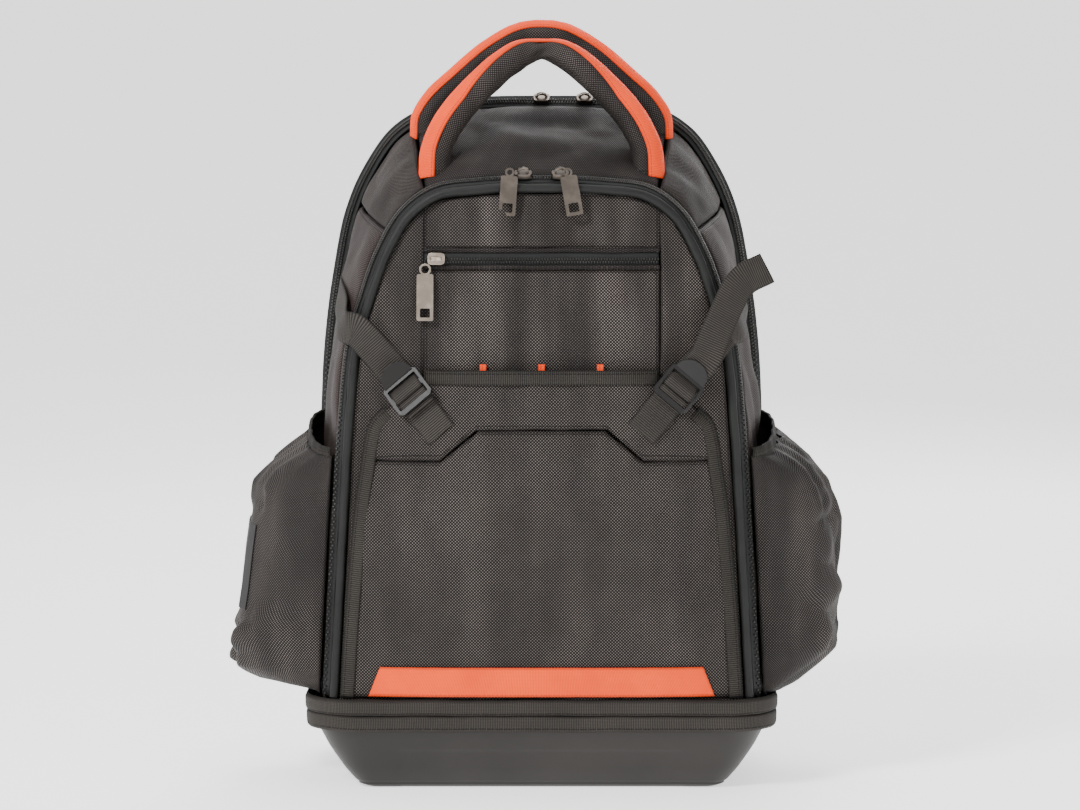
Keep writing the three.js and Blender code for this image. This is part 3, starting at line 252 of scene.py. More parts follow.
def ballistic(name, dark, light, pitch=1.2, rough=0.5, grain=0.0, sewn=3.0, gloss=0.15, painted_fold_sheen=0.42):
    """Woven nylon. grain stretches the yarns, sewn is a row of stitches in from the edge, and the last
    argument is how strongly pale and dark bands are painted on: a painted sheen and painted shade for soft
    folds."""
    finish = Finish(name)
    across, along = finish.uv()
    yarns = weave(finish, across, along * (1 - grain), pitch)
    raised = yarns.ramp(0.5, 0.92)
    tone = finish.cloudy(9, 4.0, 0.6).ramp(0.3, 0.75)
    streaks = finish.cloudy(60, 3.0, 0.6).ramp(0.3, 0.7)
    ground = finish.blend(tone, paint(dark, 0.8), paint(dark, 1.15))
    top = finish.blend(tone * 0.6 + streaks * 0.4, paint(light, 0.86), paint(light, 1.1))
    color = finish.blend(raised, ground, top)
    # Broad soft bands, stretched upright: the pale ones are a painted sheen and the dark ones painted shade,
    # standing in for the light on soft folds.
    places = finish.node("ShaderNodeMapping", None, {"Vector": finish.spot(), "Scale": (30, 18, 6)})
    bands = finish.node("ShaderNodeTexNoise", None, {"Vector": places, "Scale": 1.0, "Detail": 2.0})
    bands = bands.ramp(0.34, 0.68)
    lit = finish.blend(raised, paint(dark, 1.5), paint(light, 1.5))
    color = finish.blend(bands * painted_fold_sheen, color, lit)
    color = finish.blend((1 - bands) * painted_fold_sheen, color, paint(dark, 1.6))
    inset = finish.inset()
    # Painted shade in the seams: the cloth is darkened within about 2 mm of its edge, where it sinks into the
    # seam.
    wear_and_seam_shade = 1 - inset.ramp(0.3, 2.4)
    color = finish.blend(wear_and_seam_shade * 0.5, color, paint(dark, 0.8))
    thread = stitches(inset, across + along, sewn)
    color = finish.blend(thread * 0.7, color, paint(dark, 0.7))
    height = yarns + streaks * 0.2 - thread * 1.6
    finish.set(Base_Color=color, Roughness=rough + 0.2 - raised * 0.2, Specular_IOR_Level=gloss)
    return finish.bump(height, 0.3, 0.85)


cloth = ballistic("ballistic_cloth", (14, 12, 12), (98, 91, 86))
cloth_pocket = ballistic("ballistic_pocket", (14, 12, 12), (98, 91, 86), painted_fold_sheen=0.14)
cloth_bag = ballistic("ballistic_cloth_side_pocket", (6, 5, 5), (92, 85, 81), gloss=0.2, sewn=-9.0)
cloth_dense = ballistic("ballistic_cloth_shoulder", (16, 14, 13), (80, 73, 70), pitch=1.1)
cloth_side = ballistic("ballistic_cloth_side", (24, 19, 18), (68, 58, 55), pitch=1.0, rough=0.46, grain=0.4)
cloth_crown = ballistic("ballistic_cloth_crown", (16, 14, 13), (66, 60, 58), pitch=0.9, rough=0.42, grain=0.55)
cloths = (cloth, cloth_pocket, cloth_bag, cloth_dense, cloth_side, cloth_crown)
print("cloths:", [m.name for m in cloths])


# %% [markdown]
# ## Webbing, tape and binding
# Webbing is a thick narrow weave with ribs across it and a firm edge. Here the ribs are a sine along the
# piece, broken into yarns by a second sine across. Stitches run along it in rows.

# %% Ribbed bands
def webbing(name, dark, light, rib=1.7, rows=(), wide=25.0, rough=0.72, thread=None, depth=0.3):
    """Ribbed webbing of a width in millimetres, with rows of stitches at places across it."""
    finish = Finish(name)
    across, along = finish.uv()
    drift = finish.cloudy(160, 2.0) * 1.6
    ribs = (along * (2 * math.pi / rib) + drift).sine() * 0.5 + 0.5
    yarns = (across * (2 * math.pi / 1.1) + ribs * 2.2).sine() * 0.5 + 0.5
    tone = finish.cloudy(24, 4.0, 0.6).ramp(0.3, 0.72)
    high = ribs * 0.65 + yarns * 0.35
    color = finish.blend(high.ramp(0.3, 0.85), paint(dark), paint(light))
    color = finish.blend(tone * 0.3, color, paint(dark, 0.8))
    border = 1 - ((wide / 2 - (across - wide / 2).size())).ramp(0.4, 1.4)
    color = finish.blend(border * 0.45, color, paint(dark, 0.66))
    height = high + border * 0.4
    for at in rows:
        dash = stitches(across, along, at)
        color = finish.blend(dash * 0.85, color, paint(thread or dark, 1 if thread else 0.55))
        height = height - dash * 1.2
    finish.set(Base_Color=color, Roughness=rough, Specular_IOR_Level=0.2)
    return finish.bump(height, depth, 0.8)


strap_weave = webbing("strap_webbing", (22, 20, 19), (70, 65, 60), wide=24.4)
band_weave = webbing("band_webbing", (24, 22, 20), (70, 65, 60), rib=1.3, rows=(3.2,), wide=12.6)
bind_weave = webbing("binding_webbing", (20, 18, 17), (60, 56, 50), rib=1.6, rows=(8.6,), wide=11.0)
hem_weave = webbing("hem_webbing", (20, 18, 17), (64, 60, 54), rib=1.5, rows=(2.0, 6.0), wide=8.0)
orange_weave = webbing("orange_webbing", (236, 58, 4), (255, 86, 10), rib=1.3, rows=(2.2, 21.0),
                       wide=23.2, rough=0.66, thread=(206, 44, 4))
orange_cloth = webbing("orange_patch_cloth", (236, 60, 4), (255, 90, 12), rib=1.2, wide=23.0,
                       rows=(1.6,), rough=0.6, depth=0.18, thread=(206, 44, 4))
trim_weave = webbing("trim_binding", (18, 17, 16), (42, 40, 38), rib=1.2, wide=11.0)
print("bands:", [m.name for m in (strap_weave, band_weave, bind_weave, hem_weave, orange_weave)])


# %% Zip tape, piping and coil
def coated(name, dark, light, rough):
    """Tightly woven tape with a faint green grey coating."""
    finish = Finish(name)
    across, along = finish.uv()
    fine = weave(finish, across, along, 0.7, 0.1)
    tone = finish.cloudy(40, 4.0, 0.6).ramp(0.3, 0.7)
    color = finish.blend(tone, paint(dark), paint(light))
    finish.set(Base_Color=color, Roughness=rough + tone * 0.1, Specular_IOR_Level=0.25)
    return finish.bump(fine + tone * 0.6, 0.16, 0.6)


tape = coated("zip_tape", (14, 15, 14), (26, 28, 27), 0.6)
piping_cloth = coated("piping_cloth", (15, 16, 15), (25, 27, 25), 0.5)
print("tapes:", [m.name for m in (tape, piping_cloth)])


# %% [markdown]
# ## Moulded and metal finishes
# The tub is moulded with a fine leathery grain and is a little glossier where it was rubbed. Buckles
# are smoother nylon. The zip pulls are zinc with a dark plating that wears pale in patches.

# %% Plastics and metals
def moulded(name, dark, light, rough, grain_size, depth):
    """Moulded plastic or rubber, with a grain whose size is in millimetres."""
    finish = Finish(name)
    grain = finish.cloudy(1 / (grain_size * MM), 3.0, 0.6)
    tone = finish.cloudy(6, 4.0, 0.6).ramp(0.3, 0.72)
    color = finish.blend(tone, paint(dark), paint(light))
    finish.set(Base_Color=color, Roughness=rough + grain * 0.14 - tone * 0.05, Specular_IOR_Level=0.3)
    return finish.bump(grain, depth, 0.7)


def plated(name, dark, light, rough):
    """Plated zinc: finely brushed, brighter where it is worn."""
    finish = Finish(name)
    brushed = finish.cloudy(700, 2.0, 0.5)
    # Pale patches of worn plating, at random.
    wear_and_seam_shade = finish.cloudy(90, 4.0, 0.6).ramp(0.4, 0.7)
    color = finish.blend(wear_and_seam_shade, paint(dark), paint(light))
    finish.set(Base_Color=color, Metallic=1.0, Roughness=rough + brushed * 0.2)
    return finish.bump(brushed, 0.01, 0.4)


tub_plastic = moulded("tub_plastic", (30, 28, 26), (40, 37, 35), 0.4, 0.55, 0.1)
buckle_plastic = moulded("buckle_plastic", (14, 13, 13), (24, 22, 21), 0.38, 2.5, 0.01)
patch_rubber = moulded("patch_rubber", (14, 13, 13), (24, 22, 21), 0.6, 1.4, 0.03)
gunmetal = plated("gunmetal_plating", (104, 96, 89), (122, 113, 105), 0.24)
nickel = plated("nickel_plating", (166, 153, 140), (190, 177, 163), 0.22)
coil = moulded("zip_coil", (24, 23, 22), (60, 58, 55), 0.24, 1.0, 0.01)
print("hard finishes:", [m.name for m in (tub_plastic, buckle_plastic, patch_rubber, gunmetal, nickel)])


# %% Foam covers and the floor
def air_mesh(name, dark, light):
    """Open knitted mesh over foam: small round holes in staggered rows."""
    finish = Finish(name)
    across, along = finish.uv()
    row = along / 2.6
    shift = (row.floor() % 2.0) * 1.5
    holes = (((across + shift) / 3.0 % 1.0 - 0.5) ** 2.0 + ((row % 1.0) - 0.5) ** 2.0)
    knit = holes.ramp(0.05, 0.13)
    tone = finish.cloudy(18, 3.0).ramp(0.3, 0.7)
    yarn = finish.blend(tone, paint(dark), paint(light))
    color = finish.blend(knit, paint(dark, 0.5), yarn)
    finish.set(Base_Color=color, Roughness=0.82, Specular_IOR_Level=0.25)
    return finish.bump(knit, 0.5, 0.8)


mesh_cloth = air_mesh("air_mesh_cloth", (28, 27, 26), (44, 42, 40))
floor_paper = Finish("floor_paper")
floor_paper.set(Base_Color=floor_paper.blend(floor_paper.cloudy(3).ramp(0.2, 0.8), (0.9, 0.9, 0.9, 1),
                                             (0.93, 0.93, 0.93, 1)), Roughness=0.7,
                Emission_Color=(1, 1, 1, 1), Emission_Strength=1.0)
floor.data.materials.append(floor_paper.material)
print("materials:", len(bpy.data.materials))

# %% [markdown]
# ## The lines that the bag is built on
# Two arches carry the whole bag: the front zip, and the widest line behind it. The solids were drawn
# along smooth curves through a short list of places, so the same curves are made again here, and each
# cloth piece can follow its solid closely.

# %% Sizes in millimetres
GAP = 0.3
WEBBING = 1.4
SEAM_HEIGHT = 62.3
ABOVE_BAND = 71.8
FRONT_HALF, FRONT_TOP, FRONT_DEPTH = 168, 467, 70
REAR_HALF, REAR_TOP, REAR_DEPTH, BACK_DEPTH = 178, 531, 52, 92
PIPING_RADIUS, PIPING_AHEAD, ZIP_FACE, ZIP_SLANT = 3.6, 14, 6, 12
MAIN_ZIP_FACE, MAIN_ZIP_SLANT = 9, 10
PANEL_SEAM, POCKET_TOP, POCKET_HALF, POCKET_DEPTH = 89, 320.5, 153, 13
SIDE_TOP, SIDE_REACH, MOUTH_TILT = 264, 65, 20
STRAP_WIDTH, CLOTH_WALL, TUB_HEIGHT = 24.4, 1.6, 61.8
HANDS = (("left", -1), ("right", 1))
FEET = 0.9995  # a hair short of an arch's feet
MERGE = 2e-5
ARCH_SHARES = [
    # front out, front up, rear out, rear up
    (0, 1, 0, 1), (0.283, 0.996, 0.3, 0.997), (0.489, 0.983, 0.52, 0.98), (0.64, 0.938, 0.672, 0.945),
    (0.752, 0.86, 0.797, 0.877), (0.827, 0.774, 0.875, 0.806), (0.883, 0.694, 0.932, 0.698),
    (0.921, 0.551, 0.975, 0.56), (0.959, 0.3, 0.995, 0.3), (1, 0, 1, 0),
]
print("arches:", FRONT_TOP, REAR_TOP)


# %% Smooth curves
def mix(low, high, share):
    return low + (high - low) * share


def clamp(value, low=0.0, high=1.0):
    return max(low, min(high, value))


def smooth(value):
    value = clamp(value)
    return value * value * (3 - 2 * value)


def cloud(x, y, z):
    """Smooth noise at a place, about -1 to 1 and the same at every run."""
    return noise.noise(Vector((x, y, z)))


def search(low, high, goes_on, steps=26):
    """Halves a range until it closes on the last place where goes_on is true."""
    for _ in range(steps):
        middle = (low + high) / 2
        low, high = (middle, high) if goes_on(middle) else (low, middle)
    return low


def read_table(rows, up):
    """The other columns of a table at a place in its first column, which rises."""
    for low, high in zip(rows, rows[1:]):
        if up <= high[0]:
            share = (up - low[0]) / (high[0] - low[0])
            return [mix(a, b, share) for a, b in zip(low[1:], high[1:])]
    return rows[-1][1:]


class Curve:
    """A smooth curve through points, with the knots spaced by the square root of their distance."""

    def __init__(self, points):
        self.points = [Vector(p) for p in points]
        self.parts = []
        last = len(self.points) - 1
        for i in range(last):
            b, c = self.points[i], self.points[i + 1]
            a = self.points[i - 1] if i else b * 2 - c
            d = self.points[i + 2] if i + 2 <= last else c * 2 - b
            ab, bc, cd = [max(q.length, 1e-9) ** 0.5 for q in (b - a, c - b, d - c)]
            bc = bc if bc > 1e-4 else 1.0
            start = ((b - a) / ab - (c - a) / (ab + bc) + (c - b) / bc) * bc
            end = ((c - b) / bc - (d - b) / (bc + cd) + (d - c) / cd) * bc
            self.parts.append((b, start, (c - b) * 3 - start * 2 - end, (b - c) * 2 + start + end))

    def at(self, share):
        place = clamp(share) * len(self.parts)
        part = min(int(place), len(self.parts) - 1)
        t = place - part
        a, b, c, d = self.parts[part]
        return a + b * t + c * (t * t) + d * (t * t * t)

    def heading(self, share, step=1e-3):
        return (self.at(share + step) - self.at(share - step)).normalized()


def arch(out_column, up_column, half, top, depth):
    right = [(row[out_column] * half, depth, mix(SEAM_HEIGHT, top, row[up_column])) for row in ARCH_SHARES]
    left = [(-x, y, z) for x, y, z in reversed(right[1:])]
    return Curve(left + right)


front_arch = arch(0, 1, FRONT_HALF, FRONT_TOP, -FRONT_DEPTH)
rear_arch = arch(2, 3, REAR_HALF, REAR_TOP, REAR_DEPTH)
print("front arch starts at", [round(v) for v in front_arch.at(0)],
      "and peaks at", round(front_arch.at(0.5).z))


# %% Places across an arch, and on the wall between the two
def on_arch(curve, way, out=0.0, back=0.0):
    """way is -1 at the left foot, 0 on top and 1 at the right foot."""
    share = clamp((way + 1) / 2)
    run = curve.at(share + 1e-3) - curve.at(share - 1e-3)
    outwards = Vector((-run.z, 0, run.x)).normalized()
    if abs(way) > 0.999:
        outwards = Vector((math.copysign(1, way), 0, 0))
    return curve.at(share) + outwards * out + Vector((0, back, 0))


def gusset(way, share):
    """The wall between the zips: share is 0 at the front zip and 1 at the main zip."""
    bulge = 16 * share * (1 - share)
    front = on_arch(front_arch, way, bulge)
    rear = on_arch(rear_arch, way, bulge - MAIN_ZIP_FACE - GAP, -MAIN_ZIP_SLANT)
    return front.lerp(rear, share)


def way_at(curve, height, out=0.0, first=0.5):
    """The way down the right side of an arch, from first on, to a height."""
    return search(first, 1.0, lambda way: on_arch(curve, way, out).z > height, 30)


def leg_at(height, share):
    """The place on the right leg of the gusset at a height."""
    return gusset(search(0.3, 1.0, lambda way: gusset(way, share).z > height), share)


print("gusset top runs from", round(gusset(0, 0).z), "to", round(gusset(0, 1).z))


# %% [markdown]
# ## How a cloth piece is made
# A flat grid is the cloth before sewing. Each of its points is moved to a place on the bag, and its
# flat size stays behind in the UV map, so that the weave keeps its real scale however the cloth bends.
# The rim sinks a little into the seam, as a seam allowance does. A Solidify modifier gives thickness.

# %% Grids laid on a surface
MIDDLE = Vector((0, 0, 260))


def run_of(line, count):
    """The length of a line up to each of its places."""
    run, last = [0.0], line(0)
    for i in range(count):
        spot = line((i + 1) / count)
        run.append(run[-1] + (spot - last).length)
        last = spot
    return run


def flat_of(run, share):
    place = min(share * (len(run) - 1), len(run) - 1 - 1e-6)
    return mix(run[int(place)], run[int(place) + 1], place - int(place))


def lay_grid(across, along, place, tuck=0.0, chart=None):
    """A grid whose points are moved to place(u, v). Its UV map keeps real lengths in metres."""
    bm = bmesh.new()
    uv = bm.loops.layers.uv.new("UVMap")
    inset = bm.verts.layers.float.new("inset")
    bmesh.ops.create_grid(bm, x_segments=across, y_segments=along, size=0.5)
    spots = {vert: (vert.co.x + 0.5, vert.co.y + 0.5) for vert in bm.verts}
    runs = [run_of(lambda t: place(t, v), across) for v in (0.2, 0.5, 0.8)]
    run_across = max(runs, key=lambda run: run[-1])
    run_along = run_of(lambda t: place(0.5, t), along)
    for vert, (u, v) in spots.items():
        vert.co = place(u, v) * MM
        flat = flat_of(run_across, u), flat_of(run_along, v)
        vert[inset] = min(flat[0], run_across[-1] - flat[0], flat[1], run_along[-1] - flat[1])
    for face in bm.faces:
        for loop in face.loops:
            u, v = spots[loop.vert]
            flat = chart(loop.vert.co / MM) if chart else (flat_of(run_across, u), flat_of(run_along, v))
            loop[uv].uv = (flat[0] * MM, flat[1] * MM)
    bm.normal_update()
    middle = bm.faces[:][len(bm.faces) // 2]
    if middle.normal.dot(middle.calc_center_median() - MIDDLE * MM) < 0:
        bmesh.ops.reverse_faces(bm, faces=bm.faces[:])
    bm.normal_update()
    if tuck:
        sink = {vert: vert.normal * (tuck * MM * (1 - smooth(vert[inset] / 5)) ** 2) for vert in bm.verts}
        for vert, way in sink.items():
            vert.co -= way
    return bm


def close_tube(bm, sides):
    """Merges the long edges of a rolled grid and caps its ends, which have fewer sides than given."""
    bmesh.ops.remove_doubles(bm, verts=bm.verts[:], dist=MERGE)
    bmesh.ops.holes_fill(bm, edges=[edge for edge in bm.edges if edge.is_boundary], sides=sides)
    bmesh.ops.recalc_face_normals(bm, faces=bm.faces[:])
    return bm


def dress(piece, material, node, thick=0.0):
    """Gives a piece its finish and thickness, and lets it stand for its solid."""
    piece.data.materials.append(material)
    if thick:
        wall = piece.modifiers.new("thickness", "SOLIDIFY")
        wall.thickness = thick * MM
        wall.offset = -1
        wall.use_even_offset = True
    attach(piece, "root")
    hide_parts(node)
    print(piece.name, "faces:", len(piece.data.polygons))


def wrinkle(point, size, height, seed=0.0):
    """Uneven rises and dents, the same at every run."""
    spot = Vector((point.x / size, point.y / size, point.z / size + seed * 7.3))
    return height * noise.noise(spot)


def crumple(point, size, height, seed=0.0):
    """Rises between sharp valleys, as in cloth that was pressed together: the same at every run."""
    spot = Vector((point.x / size, point.y / size, point.z / size + seed * 5.1))
    bent = spot + Vector((noise.noise(spot * 0.7), noise.noise(spot * 0.7 + Vector((9, 0, 0))), 0)) * 0.8
    return height * (abs(noise.noise(bent)) * 3.2 - 0.6)


# %% [markdown]
# ## Letting cloth settle
# Real cloth is a little larger than the shape it is sewn to, so it puckers at its seams and bows
# between them. Blender's cloth does the same: the rim is pinned, the cloth grows by a few parts in a
# hundred and is blown outwards, and after some frames its shape is kept. A cap holds every point close
# to the place where it started, so that no piece leaves its solid.

# %% Settling by simulation
FRAMES = 14


def settle(piece, grow, pressure, cap, stiff=1.2, held=3.5, still=None):
    """Runs cloth on a piece whose rim is pinned, then keeps the shape that it takes. grow is the share by
    which the cloth is too large, cap and held are millimetres, and still tells more places to pin."""
    start = [vert.co.copy() for vert in piece.data.vertices]
    pinned = piece.vertex_groups.new(name="held")
    inset = piece.data.attributes["inset"].data
    for index in range(len(start)):
        if inset[index].value < held or (still and still(start[index] / MM)):
            pinned.add([index], 1.0, "REPLACE")
    modifier = piece.modifiers.new("cloth", "CLOTH")
    for key, value in {
            "quality": 6, "mass": 0.25, "tension_stiffness": 18, "compression_stiffness": 18,
            "bending_stiffness": stiff, "vertex_group_mass": "held", "shrink_min": -grow,
            "use_pressure": True, "uniform_pressure_force": pressure}.items():
        setattr(modifier.settings, key, value)
    modifier.settings.effector_weights.gravity = 0
    modifier.collision_settings.use_collision = False
    modifier.point_cache.frame_end = FRAMES + 1
    scene = bpy.context.scene
    for step in range(1, FRAMES + 1):
        scene.frame_set(step)
    shaped = piece.evaluated_get(bpy.context.evaluated_depsgraph_get()).data
    moved = [vert.co.copy() for vert in shaped.vertices]
    piece.modifiers.remove(modifier)
    scene.frame_set(1)
    most = 0.0
    for index, vert in enumerate(piece.data.vertices):
        way = moved[index] - start[index]
        if way.length > cap * MM:
            way = way.normalized() * cap * MM
        most = max(most, way.length)
        vert.co = start[index] + way
    piece.data.update()
    print(piece.name, "settled by up to", round(most / MM, 1), "mm")


# %% [markdown]
# ## The gusset: the cloth wall between the two zips
# It is sewn from five pieces: a crown on top, a shoulder and a side on each hand. The crown is a
# smoother cloth, and the sides are brownish with a fine grain. A plain lining lies just inside the wall,
# so that no light passes through its seams.

# %% Gusset pieces
SEAMS = {"top": (0.25, 0.262), "side": (0.39, 0.525), "foot": (1, 1)}
HALF_SEAM = 0.15 / (FRONT_TOP + FRONT_HALF)


def seam(line, sign, side, share):
    """The way of a seam at a share of the wall's depth. side is -1 before the seam and 1 after it."""
    front, rear = SEAMS[line]
    return sign * (mix(front, rear, share) + side * HALF_SEAM)


def gusset_piece(name, start, end, across, material, seed, puff=2.0, crest=0.0):
    """A cloth of the wall between two seams, each given by its line, hand and side."""
    def place(u, v):
        share = mix(0.004, 0.996, v)
        spot = gusset(mix(seam(*start, share), seam(*end, share), u), share)
        outwards = (spot - Vector((0, spot.y, 240))).normalized()
        body = (16 * u * (1 - u) * v * (1 - v)) ** 0.5
        folds = wrinkle(spot, 46, 4.0, seed) + crumple(spot, 60, 2.2, seed + 3)
        folds += wrinkle(spot, 17, 1.1, seed + 3)
        ridge = crest * smooth((v - 0.6) / 0.3) * smooth((1 - v) / 0.06)
        return spot + outwards * (puff * body - puff * 0.5 + folds * body + ridge)

    piece = new_object(name + "_cloth", lay_grid(across, 30, place, tuck=2.2))
    settle(piece, 0.012, 0.6, 5)
    dress(piece, material, name, thick=CLOTH_WALL)


gusset_piece("gusset_top", ("top", -1, -1), ("top", 1, -1), 60, cloth_crown, 1, puff=3.0, crest=4.0)
for label, sign in HANDS:
    gusset_piece(f"gusset_shoulder_{label}", ("top", sign, 1), ("side", sign, -1), 30, cloth_dense, 2 + sign)
    gusset_piece(f"gusset_side_{label}", ("side", sign, 1), ("foot", sign, 0), 80, cloth_side, 5 + sign)


def lining_place(u, v):
    """A little inside the wall, from before the front zip to behind the main zip."""
    at = gusset(mix(-FEET, FEET, u), mix(-0.06, 1.12, v))
    return Vector((at.x * 0.955, at.y, 250 + (at.z - 250) * 0.955))


lining = new_object("lining_cloth", lay_grid(120, 10, lining_place))
dress(lining, cloth_dense, "gusset_top", thick=0.8)


# %% [markdown]
# ## Zips
# A coil zip is two tapes with a row of teeth along each. The tape is a narrow grid along the arch. Each
# tooth is a small rounded bead, and one bead is made and set down along both rows. They are many, so a
# bead has few faces.

# %% Zip tape and teeth
def zip_tape(name, place, along, node):
    """place(u, v) runs across the tape with u and along it with v."""
    dress(new_object(name, lay_grid(6, along, place)), tape, node, thick=1.4)


def zip_teeth(name, place, length, pitch, rows, size):
    """Beads along a tape. rows are places across it, size is half a bead's width, length and height."""
    bead = bmesh.new()
    bmesh.ops.create_icosphere(bead, subdivisions=1, radius=1)
    count = int(length / pitch)
    bm = bmesh.new()
    for row, u in enumerate(rows):
        for i in range(count):
            v = (i + 0.25 + 0.5 * row) / count
            spot = place(u, v)
            along = (place(u, min(v + 1e-3, 1)) - place(u, max(v - 1e-3, 0))).normalized()
            across = (place(u + 0.02, v) - place(u - 0.02, v)).normalized()
            face = along.cross(across).normalized()
            if face.dot(spot - MIDDLE) < 0:
                face.negate()
            turn = Matrix((across, along, face)).transposed().to_4x4()
            seat = Matrix.Translation((spot + face * size[2] * 0.55) * MM) @ turn
            seat @= Matrix.Diagonal((*[half * MM for half in size], 1))
            first = len(bm.verts)
            for vert in bead.verts:
                bm.verts.new(seat @ vert.co)
            bm.verts.ensure_lookup_table()
            flip = turn.determinant() < 0
            for face_of_bead in bead.faces:
                corners = [bm.verts[first + vert.index] for vert in face_of_bead.verts]
                bm.faces.new(reversed(corners) if flip else corners)
    bead.free()
    piece = new_object(name, bm)
    piece.data.materials.append(coil)
    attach(piece, "root")
    print(name, "beads:", count * len(rows))


PIPING_IN = -(ZIP_FACE + PIPING_RADIUS + GAP)
FOOT = way_at(front_arch, ABOVE_BAND, PIPING_IN)


def front_tape(u, v):
    way = mix(-FOOT, FOOT, v)
    lift = 0.5 * math.sin(math.pi * u)
    return on_arch(front_arch, way, mix(-ZIP_FACE, 0, u) + lift * 0.9, mix(-ZIP_SLANT, 0, u) - lift * 0.5)


def main_tape(u, v):
    way = mix(-FEET, FEET, v)
    return on_arch(rear_arch, way, mix(-MAIN_ZIP_FACE, 0, u) + 0.3, mix(-MAIN_ZIP_SLANT, 0, u))


zip_tape("front_zip_tape", front_tape, 180, "front_zip")
zip_tape("main_zip_tape", main_tape, 180, "main_zip")
zip_teeth("front_zip_teeth", front_tape, 1050, 2.5, (0.4, 0.62), (1.35, 0.85, 1.1))
zip_teeth("main_zip_teeth", main_tape, 1240, 2.7, (0.38, 0.6), (1.5, 0.95, 1.15))


# %% [markdown]
# ## Piping and edge binding
# A fat cord covered in cloth is sewn round the front, and a thin bound edge follows the main zip. Both
# are tubes: a grid rolled up until its long edges meet, with those edges then merged.

# %% Rolled tubes
def roll_tube(name, spine, radius, around, along, material, node, ripple, squeeze=1.0):
    """spine(v) gives a place and its two square directions."""
    def place(u, v):
        at, first, second = spine(v)
        turn = 2 * math.pi * u
        swell = radius + ripple * noise.noise(at * 0.045 + Vector((u * 3, 0, 0)))
        return at + first * (math.cos(turn) * swell) + second * (math.sin(turn) * swell * squeeze)

    bm = close_tube(lay_grid(around, along, place), around + 2)
    dress(new_object(name, bm), material, node)


def arch_spine(curve, out, back, last):
    def spine(v):
        way = mix(-last, last, v)
        at = on_arch(curve, way, out, back)
        return at, (on_arch(curve, way, out + 1, back) - at), Vector((0, 1, 0))
    return spine


roll_tube("front_piping_cord", arch_spine(front_arch, PIPING_IN, -PIPING_AHEAD, FOOT), PIPING_RADIUS - 0.1,
          14, 220, piping_cloth, "front_piping", ripple=0.5)
roll_tube("main_binding_edge", arch_spine(rear_arch, -0.9, 2.1, FEET), 1.8,
          10, 200, trim_weave, "main_binding", ripple=0.25)


# %% [markdown]
# ## The front face
# The front is crowned: fullest in the middle and falling towards the piping. The same function gave the
# solids their shape. The upper cloth hangs in soft upright folds, which fade towards the seams.

# %% The face's depth
FACE_SPRING = mix(SEAM_HEIGHT, FRONT_TOP, 0.49)
POCKET_SHARES = [
    # up, out
    (0, 1), (0.24, 0.975), (0.58, 0.925), (0.71, 0.893), (0.78, 0.876), (0.835, 0.85), (0.872, 0.79), (1, 0.55),
]


def front_face(x, z):
    rise = clamp((z - SEAM_HEIGHT) / (FACE_SPRING - SEAM_HEIGHT))
    out = abs(x) / mix(FRONT_HALF, FRONT_HALF * 0.925, rise)
    up = max(0.0, (z - FACE_SPRING) / (FRONT_TOP - FACE_SPRING))
    edge = min(1.0, (out ** 2.6 + up ** 2.6) ** (1 / 2.6))
    return -(FRONT_DEPTH + PIPING_AHEAD - 3 + 13 * (1 - edge ** 4.5))


def pocket_half(z):
    up = clamp((z - ABOVE_BAND) / (POCKET_TOP - ABOVE_BAND))
    return POCKET_HALF * read_table(POCKET_SHARES, up)[0]


def pocket_face(x, z):
    up = clamp((z - ABOVE_BAND) / (POCKET_TOP - ABOVE_BAND))
    out = min(1.0, abs(x) / pocket_half(z))
    return front_face(x, z) - GAP - 2 - POCKET_DEPTH * (1 - out ** 4) * math.sin(math.pi * 0.82 * up)


print("front at the middle:", round(front_face(0, 300), 1), "pocket:", round(pocket_face(0, 200), 1))


# %% Front panels
INNER = 13.3


def inner_half(z):
    """Half the width of the face inside the piping, at a height."""
    return on_arch(front_arch, way_at(front_arch, z, -INNER, 0.15), -INNER).x


def inner_top(x):
    """The height of the inner edge of the piping above x."""
    way = search(0.0, 0.45, lambda at: on_arch(front_arch, at, -INNER).x < abs(x))
    return on_arch(front_arch, way, -INNER).z


def flat_chart(co):
    return co.x, co.z


def off_strap(x, z):
    """0 under a compression strap and 1 away from it, so that no fold lifts through the strap."""
    start, end, spot = Vector((84, 285)), Vector((150, 362)), Vector((abs(x), z))
    run = end - start
    near = start + run * clamp((spot - start).dot(run) / run.length_squared)
    return smooth(((spot - near).length - 15) / 14)


def face_piece(name, place_flat, across, along, seed, folds):
    """A cloth of the front. place_flat(u, v) gives x and z."""
    def place(u, v):
        x, z = place_flat(u, v)
        body = (16 * u * (1 - u) * v * (1 - v)) ** 0.4 * off_strap(x, z)
        upright = cloud(x / 20, z / 170, seed) * 7.5 + cloud(x / 10, z / 80, seed) * 1.2
        dents = cloud(x / 60, z / 55, seed + 9) * 2.0
        return Vector((x, front_face(x, z) - (upright * folds + dents) * body + 0.4, z))

    piece = new_object(name + "_cloth", lay_grid(across, along, place, tuck=1.0, chart=flat_chart))
    settle(piece, 0.008, 0.4, 3)
    dress(piece, cloth, name, thick=CLOTH_WALL)


